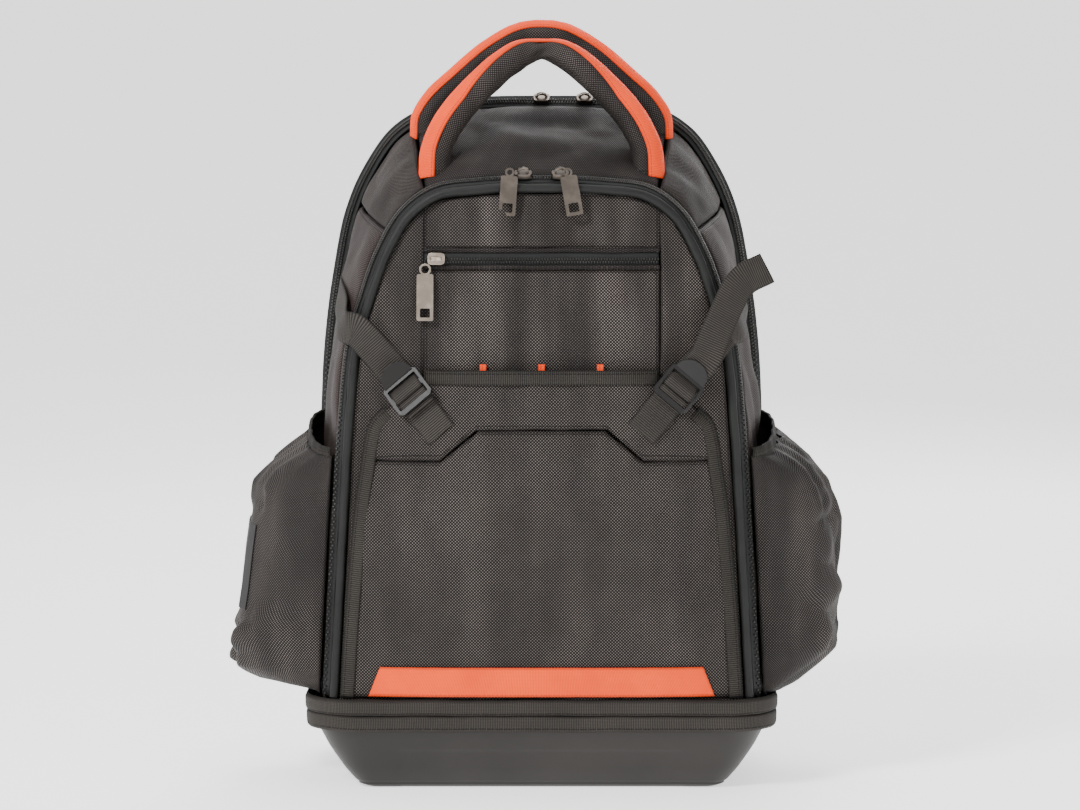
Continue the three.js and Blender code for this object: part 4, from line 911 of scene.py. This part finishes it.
ZIP_LOW, ZIP_HIGH = 397, 411
SEAM_LAP = 0.3
FLAT_HALF = PANEL_SEAM + SEAM_LAP
face_piece("panel_top", lambda u, v: (
    (x := mix(-FLAT_HALF, FLAT_HALF, u)), mix(ZIP_HIGH, inner_top(x), v)), 70, 20, 1.0, 1.3)
face_piece("panel_middle", lambda u, v: (
    mix(-FLAT_HALF, FLAT_HALF, u), mix(SEAM_HEIGHT, ZIP_LOW, v)), 70, 90, 2.0, 1.0)
SIDE_PEAK = inner_top(PANEL_SEAM)
for label, sign in HANDS:
    face_piece(f"panel_{label}", lambda u, v: (
        sign * mix(PANEL_SEAM - SEAM_LAP, max(inner_half(mix(SEAM_HEIGHT, SIDE_PEAK, v)), PANEL_SEAM + 1), u),
        mix(SEAM_HEIGHT, SIDE_PEAK, v)), 26, 100, 4.0 + sign, 0.8)

# %% [markdown]
# ## The chest zip
# It lies in a slot between two turned edges of cloth. The edges are narrow rolls, the tape lies deeper,
# and two rows of beads run along it.


# %% Chest zip
def chest_tape(u, v):
    x = mix(-PANEL_SEAM + 1, PANEL_SEAM - 1, v)
    z = mix(ZIP_LOW + 1, ZIP_HIGH - 1, u)
    return Vector((x, front_face(x, z) + 1.0 - 0.5 * math.sin(math.pi * u), z))


def chest_edge(z):
    def spine(v):
        x = mix(-PANEL_SEAM + 0.5, PANEL_SEAM - 0.5, v)
        return Vector((x, front_face(x, z) - 0.2, z)), Vector((0, 0, 1)), Vector((0, 1, 0))
    return spine


zip_tape("chest_zip_tape", chest_tape, 60, "pocket_zip")
zip_teeth("chest_zip_teeth", chest_tape, 176, 2.1, (0.3, 0.47), (1.2, 0.7, 1.0))
for label, z in (("lower", ZIP_LOW + 0.6), ("upper", ZIP_HIGH - 0.6)):
    roll_tube(f"chest_welt_{label}", chest_edge(z), 1.7, 10, 90, cloth_crown, "pocket_zip",
              ripple=0.4, squeeze=0.8)

# %% [markdown]
# ## The lower pocket
# A deep flat pocket covers the lower front. Its yoke is a separate piece with a stepped seam. Bindings
# run down its sides and along its mouth, and an orange strip lies along its foot.


# %% Pocket cloths
def yoke_line(x):
    """The stepped seam: low outside, high in the middle."""
    return mix(252.5, 276, clamp((76 - abs(x)) / 27))


def pocket_piece(name, low, high, along, seed, puff, straight):
    """low and high give the two long edges as x and z, from left to right. The short edges are straight,
    or else follow the pocket's outline."""
    def place(u, v):
        (x_low, z_low), (x_high, z_high) = low(2 * u - 1), high(2 * u - 1)
        z = mix(z_low, z_high, v)
        x = mix(x_low, x_high, v) if straight else pocket_half(z) * (2 * u - 1)
        body = (16 * u * (1 - u) * v * (1 - v)) ** 0.45 * smooth((z - 88) / 50)
        upright = cloud(x / 28, z / 130, seed) * 3.4
        dents = cloud(x / 70, z / 60, seed + 4) * 3.4
        return Vector((x, pocket_face(x, z) - (upright + dents + puff) * body + 0.6, z))

    piece = new_object(name + "_cloth", lay_grid(100, along, place, tuck=1.1, chart=flat_chart))
    settle(piece, 0.01, 0.5, 4)
    dress(piece, cloth_pocket, name, thick=CLOTH_WALL)


def foot_edge(side):
    return POCKET_HALF * side, ABOVE_BAND


def yoke_edge(side):
    x = pocket_half(252) * side
    return x, yoke_line(x)


def mouth_edge(side):
    """The pocket's upper edge: level in the middle, with its corners cut off."""
    corner = max(0.0, abs(side) - 0.7) / 0.3
    level = POCKET_HALF * 0.55
    x = mix(level, POCKET_HALF * 0.79, corner) if corner else abs(side) / 0.7 * POCKET_HALF * 0.55
    return math.copysign(x, side), mix(POCKET_TOP, 288.7, corner)


pocket_piece("pocket_face", foot_edge, yoke_edge, 76, 7.0, 1.6, straight=False)
pocket_piece("pocket_yoke", yoke_edge, mouth_edge, 34, 8.0, 0.8, straight=True)


# %% Bindings and the orange strip
def strip_on_pocket(name, node, flat, across, along, material, lift=1.0):
    """A narrow strip over the pocket. flat(u, v) gives x and z, with v along the strip."""
    def place(u, v):
        x, z = flat(u, v)
        wave = 0.3 * cloud(x / 8, z / 8, 3)
        crown = 0.5 * (1 - (2 * u - 1) ** 4)
        return Vector((x, pocket_face(x, z) - lift - crown - wave, z))

    dress(new_object(name, lay_grid(across, along, place, tuck=0.6)), material, node, thick=1.3)


def side_binding(sign):
    line = Curve([(POCKET_HALF * out - 5.5, 0, mix(ABOVE_BAND, POCKET_TOP, up))
                  for up, out in POCKET_SHARES[:-1]])

    def flat(u, v):
        at, run = line.at(v), line.heading(v)
        side = mix(-5.5, 5.5, u)
        return sign * (at.x + side * run.z), at.z - side * run.x
    return flat


for label, sign in HANDS:
    strip_on_pocket(f"pocket_binding_{label}_strip", f"pocket_binding_{label}", side_binding(sign),
                    8, 120, bind_weave)
strip_on_pocket("pocket_mouth_strip", "pocket_top_binding", lambda u, v: (
    mix(-88, 88, v), POCKET_TOP - 11 + 11.4 * u), 8, 90, bind_weave)


strip_on_pocket("orange_strip", "orange_patch", lambda u, v: (
    mix(-1, 1, v) * mix(131, 122, u), mix(73.6, 96.5, u)), 14, 130, orange_cloth, lift=1.9)
for i, label in enumerate(("left", "middle", "right")):
    x = (i - 1) * 44
    bm = lay_grid(4, 20, lambda u, v: Vector((
        x + mix(-2.5, 2.5, u), front_face(x, 300) - 2.6 - 3.0 * math.sin(math.pi * v), mix(296, 325, v))))
    dress(new_object(f"tool_loop_{label}_tape", bm), orange_weave, f"tool_loop_{label}", thick=1.2)

# %% [markdown]
# ## Side pockets
# Each pocket is a bag of cloth sewn to the gusset on three sides and gathered into an elastic hem at
# its mouth. The gathers start at the hem and fade lower down, so the cloth is laid with waves there,
# and the cloth simulation breaks them into real folds.

# %% Side pocket cloth
SIDE_SHARES = [
    # up, left, right
    (0, 0.03, 0.03), (0.03, 0.6, 0.24), (0.09, 0.93, 0.5), (0.16, 0.98, 0.78), (0.24, 1, 0.89),
    (0.4, 0.94, 0.9), (0.57, 0.9, 0.87), (0.67, 0.87, 0.88), (0.83, 0.76, 0.75), (0.905, 0.58, 0.6),
    (0.96, 0.36, 0.4), (1, 0.19, 0.2),
]
FLAT_NODES = [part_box(name) for name in ("side_patch", "side_eyelet")]


def calm(spot):
    """0 near the patch and the eyelet, which need flat cloth, and 1 elsewhere."""
    share = 1.0
    for low, high in FLAT_NODES:
        away = max(max(low[i] / MM - spot[i], spot[i] - high[i] / MM) for i in (1, 2))
        share = min(share, smooth(away / 16))
    return share


def side_pocket(column, up, turn, lift=0.0, folds=0.0):
    """up runs from the foot to the mouth, and turn from the front seam to the rear one."""
    share = mix(0.02, 0.97, turn)
    height = mix(ABOVE_BAND + GAP, SIDE_TOP, up) + MOUTH_TILT * (turn - 0.5) * max(0.0, up) ** 3
    base = leg_at(height, share)
    boxy = max(0.0, 1 - abs(2 * turn - 1) ** 3.4) ** 0.5
    near_mouth = smooth((up - 0.55) / 0.45)
    gather = math.sin(turn * 38 + 3 * cloud(turn * 5, up * 2, column)) * 1.6 * near_mouth
    flat = Vector((turn * 150, up * 190, column * 77))
    dent = crumple(flat, 70, 8.0, column) + crumple(flat, 36, 3.2, column + 5)
    dent += wrinkle(flat, 60, 4.0, column + 2)
    gather, dent = gather * folds, dent * folds * (1 - near_mouth * 0.7) + 1.5 * folds
    if column == 1:
        dent *= calm(Vector((-(base.x + SIDE_REACH), base.y, base.z)))
    belly = SIDE_REACH * read_table(SIDE_SHARES, up)[column - 1]
    stand = GAP + 1.6 + (belly + gather + dent) * boxy + lift
    return Vector(((-1 if column == 1 else 1) * (base.x + stand), base.y, base.z))


def turn_chart(bm):
    """Swaps the two directions of the chart, so that ribs cross the piece the other way."""
    for face in bm.faces:
        for loop in face.loops:
            flat = loop[bm.loops.layers.uv["UVMap"]]
            flat.uv = (flat.uv.y, flat.uv.x)
    return bm


for column, label in ((1, "left"), (2, "right")):
    bm = lay_grid(84, 84, lambda u, v: side_pocket(column, v, (1 - math.cos(math.pi * u)) / 2, folds=1.0))
    pocket = new_object(f"side_pocket_{label}_cloth", bm)
    settle(pocket, 0.035, 0.5, 6, stiff=0.6, still=(lambda spot: calm(spot) < 0.3) if column == 1 else None)
    dress(pocket, cloth_bag, f"side_pocket_{label}", thick=1.3)
    bm = turn_chart(lay_grid(110, 8, lambda u, v: side_pocket(
        column, mix(0.99, 1.042, v), (1 - math.cos(math.pi * u)) / 2,
        lift=0.9 + math.sin(math.pi * v) * 0.8 + math.sin(u * 52) * 0.35)))
    hem = new_object(f"side_hem_{label}_band", bm)
    dress(hem, hem_weave, f"side_hem_{label}", thick=2.2)

# %% [markdown]
# ## Handles
# Each handle is a foam roll in the bag's cloth, with an orange webbing sewn along its outer side. The
# front one is pinched where a hand grips it.

# %% Handle lines
HANDLE_SHARES = [
    # front out, front up, rear out, rear up
    (1, 0, 1, 0), (0.985, 0.17, 0.985, 0.16), (0.9, 0.36, 0.88, 0.36), (0.78, 0.52, 0.7, 0.56),
    (0.62, 0.68, 0.47, 0.79), (0.41, 0.85, 0.24, 0.95), (0.2, 0.965, 0.12, 0.99), (0, 1, 0, 1),
]
HANDLES = {
    # column, span, peak, share of the gusset, depth of the peak, pinch, turn
    "front": (0, 94, 576, 0.22, -24, 0.34, 32),
    "rear": (2, 104, 590, 0.84, 16, 0.0, 5),
}
PAD_WIDTH, PAD_THICK = 27, 22


def handle_line(kind):
    column, span, peak, share, depth, pinch, turned = HANDLES[kind]
    base = gusset(0.256, share)
    up = Vector((0, depth - base.y, peak - base.z))
    rise = up.length
    up.normalize()
    across = Vector((0, up.z, -up.y))
    rows = [(row[column] * span, row[column + 1] * rise) for row in HANDLE_SHARES]
    right = [(rows[0][0], -0.12 * rise), *rows]
    line = Curve([(-x, z, 0) for x, z in right[:-1]] + [(x, z, 0) for x, z in reversed(right)])

    def station(along):
        at, run = line.at(along), line.heading(along)
        radial = Vector((-run.y, 0, 0)) + up * run.x
        far = abs(2 * along - 1)
        twist = math.radians(turned) * min(1.0, far * 2.2) ** 2
        facing = radial * math.cos(twist) - across * math.sin(twist)
        side = across * math.cos(twist) + radial * math.sin(twist)
        centre = Vector((at.x, base.y, base.z)) + up * at.y + radial * -(PAD_THICK / 2 + WEBBING + GAP)
        thin = 1 - pinch * math.exp(-((far / 0.12) ** 2))
        return centre, facing, side, thin
    return station


print("handle peaks:", [round(handle_line(kind)(0.5)[0].z) for kind in HANDLES])


# %% Handle rolls and their webbing
def handle(kind):
    station = handle_line(kind)

    def roll(u, v):
        centre, facing, side, thin = station(mix(0.035, 0.965, v))
        turn = 2 * math.pi * u
        far = abs(2 * v - 1)
        bunch = 1.6 * math.exp(-((far / 0.1) ** 2)) * math.sin(turn * 5 + v * 60) if kind == "front" else 0.0
        soft = noise.noise(centre * 0.06 + Vector((math.cos(turn), math.sin(turn), 0))) * 0.9
        flat = 1 - 0.1 * max(0.0, math.sin(turn)) ** 4
        return centre + side * ((PAD_WIDTH / 2 + bunch + soft) * thin * math.cos(turn)) + facing * (
            (PAD_THICK / 2 + bunch * 0.8 + soft) * thin * math.sin(turn) * flat)

    pad = new_object(f"handle_{kind}_roll", close_tube(lay_grid(28, 110, roll), 40))
    settle(pad, 0.01, 1.5, 2.5, held=1.0)
    dress(pad, cloth_dense, f"handle_{kind}_pad")

    def strip(u, v):
        centre, facing, side, thin = station(mix(0.03, 0.97, v))
        turn = math.radians(mix(144, 36, u))
        lift = 0.7 + 0.25 * cloud(v * 30, u * 2, 5)
        return centre + side * ((PAD_WIDTH / 2 + lift) * thin * math.cos(turn)) + facing * (
            PAD_THICK / 2 * thin * math.sin(turn) + (lift + 0.5) * math.sin(turn))

    piece = new_object(f"handle_{kind}_strip", lay_grid(12, 130, strip))
    dress(piece, orange_weave, f"handle_{kind}_webbing", thick=1.2)


for kind in HANDLES:
    handle(kind)

# %% [markdown]
# ## The tub
# The bag stands in a moulded tub. Its wall leans in towards the floor and turns under with a generous
# round. The outline is a rectangle with rounded corners, wider at the front corners, and it shrinks from
# row to row. The grid runs round it once, and its two ends are merged.

# %% Rounded outlines
GIRTH_HALF, GIRTH_FRONT, GIRTH_BACK = 179, 95, 93
TUB_SHARES = [
    # up, drawn in at the sides, front, back
    (0, 46, 27, 14), (0.04, 39, 22, 10), (0.22, 28.5, 15.5, 6), (0.5, 16, 9, 3), (0.74, 8, 4, 1.5),
    (1, 0.5, 0.5, 0.5),
]


def girth(turn, side, front, back, z):
    """A place on the rounded rectangle: turn runs once round it, by length, from the middle of the back."""
    x, near, far = GIRTH_HALF - side, -(GIRTH_FRONT - front), GIRTH_BACK - back
    front_round = max(8.0, 42 - (side + front) / 2)
    back_round = max(8.0, 17 - (side - back) / 2)
    half = turn if turn <= 0.5 else 1 - turn
    legs = [x - back_round, math.pi / 2 * back_round, far - near - back_round - front_round,
            math.pi / 2 * front_round, x - front_round]
    run = half * 2 * sum(legs)
    if run <= legs[0]:
        spot = (run, far)
    elif (run := run - legs[0]) <= legs[1]:
        angle = math.pi / 2 - run / back_round
        spot = x + back_round * (math.cos(angle) - 1), far + back_round * (math.sin(angle) - 1)
    elif (run := run - legs[1]) <= legs[2]:
        spot = (x, far - back_round - run)
    elif (run := run - legs[2]) <= legs[3]:
        angle = -run / front_round
        spot = x + front_round * (math.cos(angle) - 1), near + front_round * (math.sin(angle) + 1)
    else:
        spot = (x - front_round - (run - legs[3]), near)
    return Vector((spot[0] if turn <= 0.5 else -spot[0], spot[1], z))


def tub_place(u, v):
    up = v * v * 0.35 + v * 0.65
    steps = (-0.05, -0.025, 0, 0.025, 0.05) if up >= 0.05 else (0,)
    around = [read_table(TUB_SHARES, clamp(up + step)) for step in steps]
    draw = [sum(row[i] for row in around) / len(around) for i in range(3)]
    spot = girth(u, *draw, up * TUB_HEIGHT)
    ledge = smooth((112 - abs(spot.x)) / 6) * smooth((32 - spot.z) / 2.5) * (1 if spot.y < 0 else 0)
    return spot + Vector((0, 0.9 * ledge, 0))


print("girth at the front:", [round(v) for v in girth(0.5, 0, 0, 0, 62)])

# %% Tub and bands
tub_bm = lay_grid(260, 46, tub_place)
bmesh.ops.remove_doubles(tub_bm, verts=tub_bm.verts[:], dist=MERGE)
floor_rim = [edge for edge in tub_bm.edges if edge.is_boundary and all(v.co.z < 0.001 for v in edge.verts)]
bottom = bmesh.ops.contextual_create(tub_bm, geom=floor_rim)["faces"]
bmesh.ops.inset_region(tub_bm, faces=bottom, thickness=0.004, depth=0.0)
bmesh.ops.recalc_face_normals(tub_bm, faces=tub_bm.faces[:])
dress(new_object("tub_shell", tub_bm), tub_plastic, "base_tub", thick=2.8)


def band(name, low, high, out, fold):
    def place(u, v):
        wave = 0.5 * cloud(math.cos(u * 6.28) * 9, math.sin(u * 6.28) * 9, low)
        z = mix(low, high, v) + wave
        stand = out * (1 - (2 * v - 1) ** 6) + wave * 0.6 + fold * v
        return girth(u, -stand, -stand, -stand, z)

    bm = turn_chart(lay_grid(260, 10, place))
    bmesh.ops.remove_doubles(bm, verts=bm.verts[:], dist=MERGE)
    dress(new_object(name + "_webbing", bm), band_weave, name, thick=1.4)


band("base_band_lower", 46.5, 59.2, 1.6, 0.5)
band("base_band_upper", 58.6, 71.5, 2.6, 0.2)

# %% [markdown]
# ## Straps and buckles
# A side strap comes round each front corner, passes through a ladder buckle and ends in a tab sewn to
# the pocket. On the right its loose end stands away from the bag. A ribbon is a grid along a curve.


# %% Frames on the bag
def in_frame(frame_of, u, v, w):
    centre, along, across, face = frame_of
    return centre + along * u + across * v + face * w


def on_frame(frame_of, u, w):
    """A row of a strap on a frame's middle line: its place and outward direction."""
    return in_frame(frame_of, u, 0, w), frame_of[3]


def frame_on(face_at, x, z, turn, reach, clear):
    """A square frame that rests on a face of the bag, lifted until its corners clear it."""
    slope_x = (face_at(x + 2, z) - face_at(x - 2, z)) / 4
    slope_z = (face_at(x, z + 2) - face_at(x, z - 2)) / 4
    outwards = Vector((slope_x, -1, slope_z)).normalized()
    along = Vector((math.cos(turn), 0, math.sin(turn)))
    along = (along - outwards * along.dot(outwards)).normalized()
    made = [Vector((x, face_at(x, z), z)), along, outwards.cross(along).normalized(), outwards]
    high = 0.0
    for u in (-1, -0.5, 0, 0.5, 1):
        for v in (-1, -0.5, 0, 0.5, 1):
            spot = in_frame(made, u * reach[0], v * reach[1], 0)
            high = max(high, (Vector((spot.x, face_at(spot.x, spot.z), spot.z)) - made[0]).dot(outwards))
    made[0] = made[0] + outwards * (high + clear)
    return made


BUCKLES = {"left": (-1, 9, 17.5), "right": (1, 13, 13.5)}
BUCKLE_LENGTH, BUCKLE_WIDTH, BUCKLE_THICK, BAR = 27, 31, 2.6, 4
SLOT = (BUCKLE_LENGTH - 3 * BAR) / 2


def buckle_frame(side):
    sign, out, drop = BUCKLES[side]
    turn = -math.radians(50) if sign < 0 else math.radians(230)
    return frame_on(lambda x, z: pocket_face(x, z) - GAP - WEBBING, sign * (PANEL_SEAM + out),
                    POCKET_TOP - drop, turn, (BUCKLE_LENGTH / 2, BUCKLE_WIDTH / 2), 2 * GAP + WEBBING)


print("left buckle at", [round(v) for v in buckle_frame("left")[0]])


# %% Ribbons
RIBBON = 1.2


def ribbon(name, node, rows, along, width=STRAP_WIDTH, ripple=0.0):
    """A strap through rows of a place and an outward direction."""
    path, faces = Curve([row[0] for row in rows]), Curve([row[1] for row in rows])

    def place(u, v):
        run = path.heading(v)
        face = faces.at(v)
        across = face.cross(run).normalized()
        face = run.cross(across).normalized()
        side = mix(-0.5, 0.5, u)
        wave = ripple * cloud(v * 6, u * 2, 1.5) + 0.12 * (1 - (2 * side) ** 6)
        return path.at(v) + across * (side * width) + face * (RIBBON / 2 + wave)

    dress(new_object(name, lay_grid(8, along, place)), strap_weave, node, thick=RIBBON)


UNDER_BAR = -GAP - WEBBING / 2 - 0.1
OVER_BAR = BUCKLE_THICK + GAP + WEBBING / 2


def thread_rows(frame_of):
    near, far = BAR / 2 + SLOT * 0.08, BAR / 2 + SLOT - 0.2
    places = [(-far, UNDER_BAR), (-near - SLOT / 2, (UNDER_BAR + OVER_BAR) / 2 - 0.3), (-near, OVER_BAR),
              (0, OVER_BAR + 0.25), (near, OVER_BAR), (near + SLOT / 2, (UNDER_BAR + OVER_BAR) / 2),
              (far - 1.2, 0.4)]
    return [on_frame(frame_of, u, w) for u, w in places]


def on_leg(height, share, lift, sign):
    at = leg_at(height, share)
    ahead = leg_at(height, share - 0.02) - leg_at(height, share + 0.02)
    along = leg_at(height + 2, share) - leg_at(height - 2, share)
    face = along.cross(ahead).normalized()
    face = -face if face.x < 0 else face
    spot = at + face * lift
    return Vector((sign * spot.x, spot.y, spot.z)), Vector((sign * face.x, face.y, face.z))


STRAP_CORNER = POCKET_TOP + 31.5


def strap_rows(frame_of, sign):
    rest = GAP + WEBBING / 2 + 0.4
    corner = sign * way_at(front_arch, STRAP_CORNER)
    return [
        on_leg(STRAP_CORNER + 34, 0.96, rest, sign),
        on_leg(STRAP_CORNER + 24, 0.6, rest + 0.6, sign),
        on_leg(STRAP_CORNER + 12, 0.2, rest + 1.2, sign),
        (on_arch(front_arch, corner, 3.2, -8), Vector((0.75 * sign, -0.66, 0))),
        (on_arch(front_arch, corner, -7, -PIPING_AHEAD - PIPING_RADIUS - 3.4), Vector((0.3 * sign, -0.95, 0))),
        on_frame(frame_of, -BUCKLE_LENGTH / 2 - 12, 0.4),
        on_frame(frame_of, -BUCKLE_LENGTH / 2, UNDER_BAR),
        *thread_rows(frame_of)[:-2],
        on_frame(frame_of, BAR / 2 + 1.4, 1.2),
        on_frame(frame_of, BAR / 2 + 1.6, UNDER_BAR),
    ]


for side, (sign, _, _) in BUCKLES.items():
    seat = buckle_frame(side)
    ribbon(f"strap_{side}_ribbon", f"strap_{side}", strap_rows(seat, sign), 150, ripple=0.35)

    def tab_place(u, v, seat=seat):
        spot = in_frame(seat, mix(3, 44, v), mix(-12.5, 12.5, u), 0)
        return Vector((spot.x, pocket_face(spot.x, spot.z) - 2.0 - 0.3 * math.sin(math.pi * v), spot.z))

    tab = new_object(f"strap_tab_{side}_ribbon", lay_grid(8, 24, tab_place, tuck=0.3))
    dress(tab, strap_weave, f"strap_tab_{side}", thick=1.3)
    loop = [on_frame(seat, u, w) for u, w in (
        (4.6, UNDER_BAR), (4.9, 1.0), (7.0, 1.7), (9.0, 0.9), (11.5, UNDER_BAR), (16.0, UNDER_BAR - 0.2))]
    ribbon(f"strap_tab_{side}_loop", f"strap_tab_{side}", loop, 40, width=24.0)

tail_frame = buckle_frame("right")
free = Vector((0.35, -0.93, 0.1))
tail = [on_frame(tail_frame, -BUCKLE_LENGTH / 2 - GAP, GAP + WEBBING / 2),
        on_frame(tail_frame, -BUCKLE_LENGTH / 2 - GAP - 16, 4.2)]
tail += [(on_arch(front_arch, way_at(front_arch, STRAP_CORNER + rise), out, back - PIPING_AHEAD), free)
         for rise, out, back in ((4, -14, -17), (30, 14, -6), (34, 36, 2))]
ribbon("strap_tail_ribbon", "strap_tail", tail, 70, ripple=0.5)

# %% [markdown]
# ## The back
# The rear wall is cloth that turns from the main zip to the back. A foam pad covered in air mesh lies on
# the back panel, sewn into channels, and two padded straps carry the bag.

# %% Rear wall and back panel
REAR_PLACES = Curve([(0, 0, 4.2), (-0.5, 0, 20), (-4.5, 0, 34), (-12, 0, 40)])


def rear_place(u, v):
    spot = REAR_PLACES.at(v)
    way = mix(-FEET, FEET, u)
    at = on_arch(rear_arch, way, spot.x, spot.z)
    outwards = on_arch(rear_arch, way, spot.x + 1, spot.z) - at
    body = (4 * v * (1 - v)) ** 0.5
    return at + outwards * (wrinkle(at, 60, 1.6, 11) + wrinkle(at, 22, 0.7, 12)) * body


rear = new_object("rear_wall_cloth", lay_grid(240, 20, rear_place, tuck=1.2))
dress(rear, cloth_dense, "rear_gusset", thick=CLOTH_WALL)


def arched(u, v, inset, low):
    """A flat arched shape as a grid. Its sides and top lie on the arch, and its foot is level."""
    foot = way_at(rear_arch, low, -inset)
    corner = way_at(rear_arch, REAR_TOP - 0.3 * REAR_HALF, -inset, 0.15)
    half = on_arch(rear_arch, foot, -inset).x
    tip = on_arch(rear_arch, corner, -inset)
    side = on_arch(rear_arch, mix(foot, corner, v), -inset)
    top = on_arch(rear_arch, corner * (2 * u - 1), -inset)
    x = mix(half * (2 * u - 1), top.x, v) + (2 * u - 1) * (side.x - mix(half, tip.x, v))
    return x, mix(low, top.z, v) + side.z - mix(low, tip.z, v)


def back_place(u, v):
    x, z = arched(u, v, 12.3, SEAM_HEIGHT)
    return Vector((x, BACK_DEPTH - 0.1, z))


back = new_object("back_panel_cloth", lay_grid(70, 80, back_place, chart=flat_chart))
dress(back, cloth_dense, "back_panel", thick=CLOTH_WALL)


def pad_place(u, v):
    x, z = arched(u, v, 31, 150)
    rim = min(min(u, 1 - u) * 290, min(v, 1 - v) * 350)
    lift = 11.4 * smooth(rim / 12) ** 0.6
    for line in (-48, 48):
        lift -= 5.0 * math.exp(-(((x - line) / 4.5) ** 2)) * smooth(rim / 20)
    for line in (235, 320, 405):
        lift -= 3.6 * math.exp(-(((z - line) / 4.5) ** 2)) * smooth(rim / 20)
    return Vector((x, BACK_DEPTH + 0.4 + max(0.0, lift), z))


pad = new_object("back_pad_mesh", lay_grid(96, 110, pad_place, chart=flat_chart))
settle(pad, 0.004, 0.5, 1.2)
dress(pad, mesh_cloth, "back_pad")

# %% Shoulder straps
STRAP_SHARES = [(0.3, 0, 0.88), (0.31, 0.05, 0.83), (0.34, 0.55, 0.76), (0.39, 0.97, 0.63), (0.44, 0.97, 0.5),
                (0.48, 0.6, 0.4), (0.51, 0.22, 0.32), (0.52, 0.1, 0.28)]


def shoulder_strap(label, sign):
    line = Curve([(sign * x * REAR_HALF, BACK_DEPTH + 18.6 + bow * 62, mix(SEAM_HEIGHT, REAR_TOP, up))
                  for x, bow, up in STRAP_SHARES])

    def roll(u, v):
        run = line.heading(v)
        across = (Vector((1, 0, 0)) - run * run.x).normalized()
        face = run.cross(across)
        end = max(0.0, v - 0.75) * 4
        wide, thick = 33 * mix(1, 0.5, end), 6 * mix(1, 0.3, end)
        turn = 2 * math.pi * u
        side = math.copysign(abs(math.cos(turn)) ** 0.45, math.cos(turn))
        top = math.copysign(abs(math.sin(turn)) ** 0.6, math.sin(turn))
        groove = 1 - 0.35 * math.exp(-(((abs(side) - 0.86) / 0.05) ** 2))
        return line.at(v) + across * (side * wide) + face * (top * thick * groove)

    strap = new_object(f"shoulder_strap_{label}_pad", close_tube(lay_grid(48, 90, roll), 60))
    dress(strap, mesh_cloth, f"shoulder_strap_{label}")
    end = line.at(1)
    foot = Vector((sign * (REAR_HALF - 34), BACK_DEPTH + GAP + WEBBING / 2, SEAM_HEIGHT + 24))
    down = (foot - end).normalized()
    out = (Vector((0, 1, 0)) - down * down.y).normalized()
    centre = end + down * (BUCKLE_LENGTH / 2 + 5.2)
    lock = [centre, down, out.cross(down).normalized(), out]
    rows = [*thread_rows(lock)[1:-1], on_frame(lock, BUCKLE_LENGTH / 2 - BAR - 0.2, UNDER_BAR),
            on_frame(lock, BUCKLE_LENGTH / 2 + 1, UNDER_BAR),
            (foot - down * 30 + Vector((0, 1, 0)), out), (foot, Vector((0, 1, 0)))]
    ribbon(f"strap_webbing_{label}_ribbon", f"strap_webbing_{label}", rows, 90)


for label, sign in HANDS:
    shoulder_strap(label, sign)

# %% [markdown]
# ## Hardware
# Buckles, sliders, pulls and the eyelet are hard and keep their solids. A Weld modifier joins their
# loose triangles, and a small bevel rounds the edges, which is what catches the light on real ones.


# %% Hard pieces
def finish_solid(name, material, round_by):
    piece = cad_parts[name]
    piece.data.materials.clear()
    piece.data.materials.append(material)
    weld = piece.modifiers.new("weld", "WELD")
    weld.merge_threshold = MERGE
    bevel = piece.modifiers.new("rounding", "BEVEL")
    bevel.width = round_by * MM
    bevel.segments = 2
    bevel.limit_method = "ANGLE"
    bevel.angle_limit = math.radians(38)
    bevel.harden_normals = False
    return piece


for name in ("buckle_left", "buckle_right", "adjuster_left", "adjuster_right"):
    finish_solid(name, buckle_plastic, 0.45)
for name in ("slider_front_left", "slider_front_right", "slider_rear_left", "slider_rear_right",
             "pull_front_left", "pull_front_right"):
    finish_solid(name, gunmetal, 0.3)
for name in ("slider_pocket", "pull_pocket", "side_eyelet"):
    finish_solid(name, nickel, 0.25)
finish_solid("side_patch", patch_rubber, 0.3)
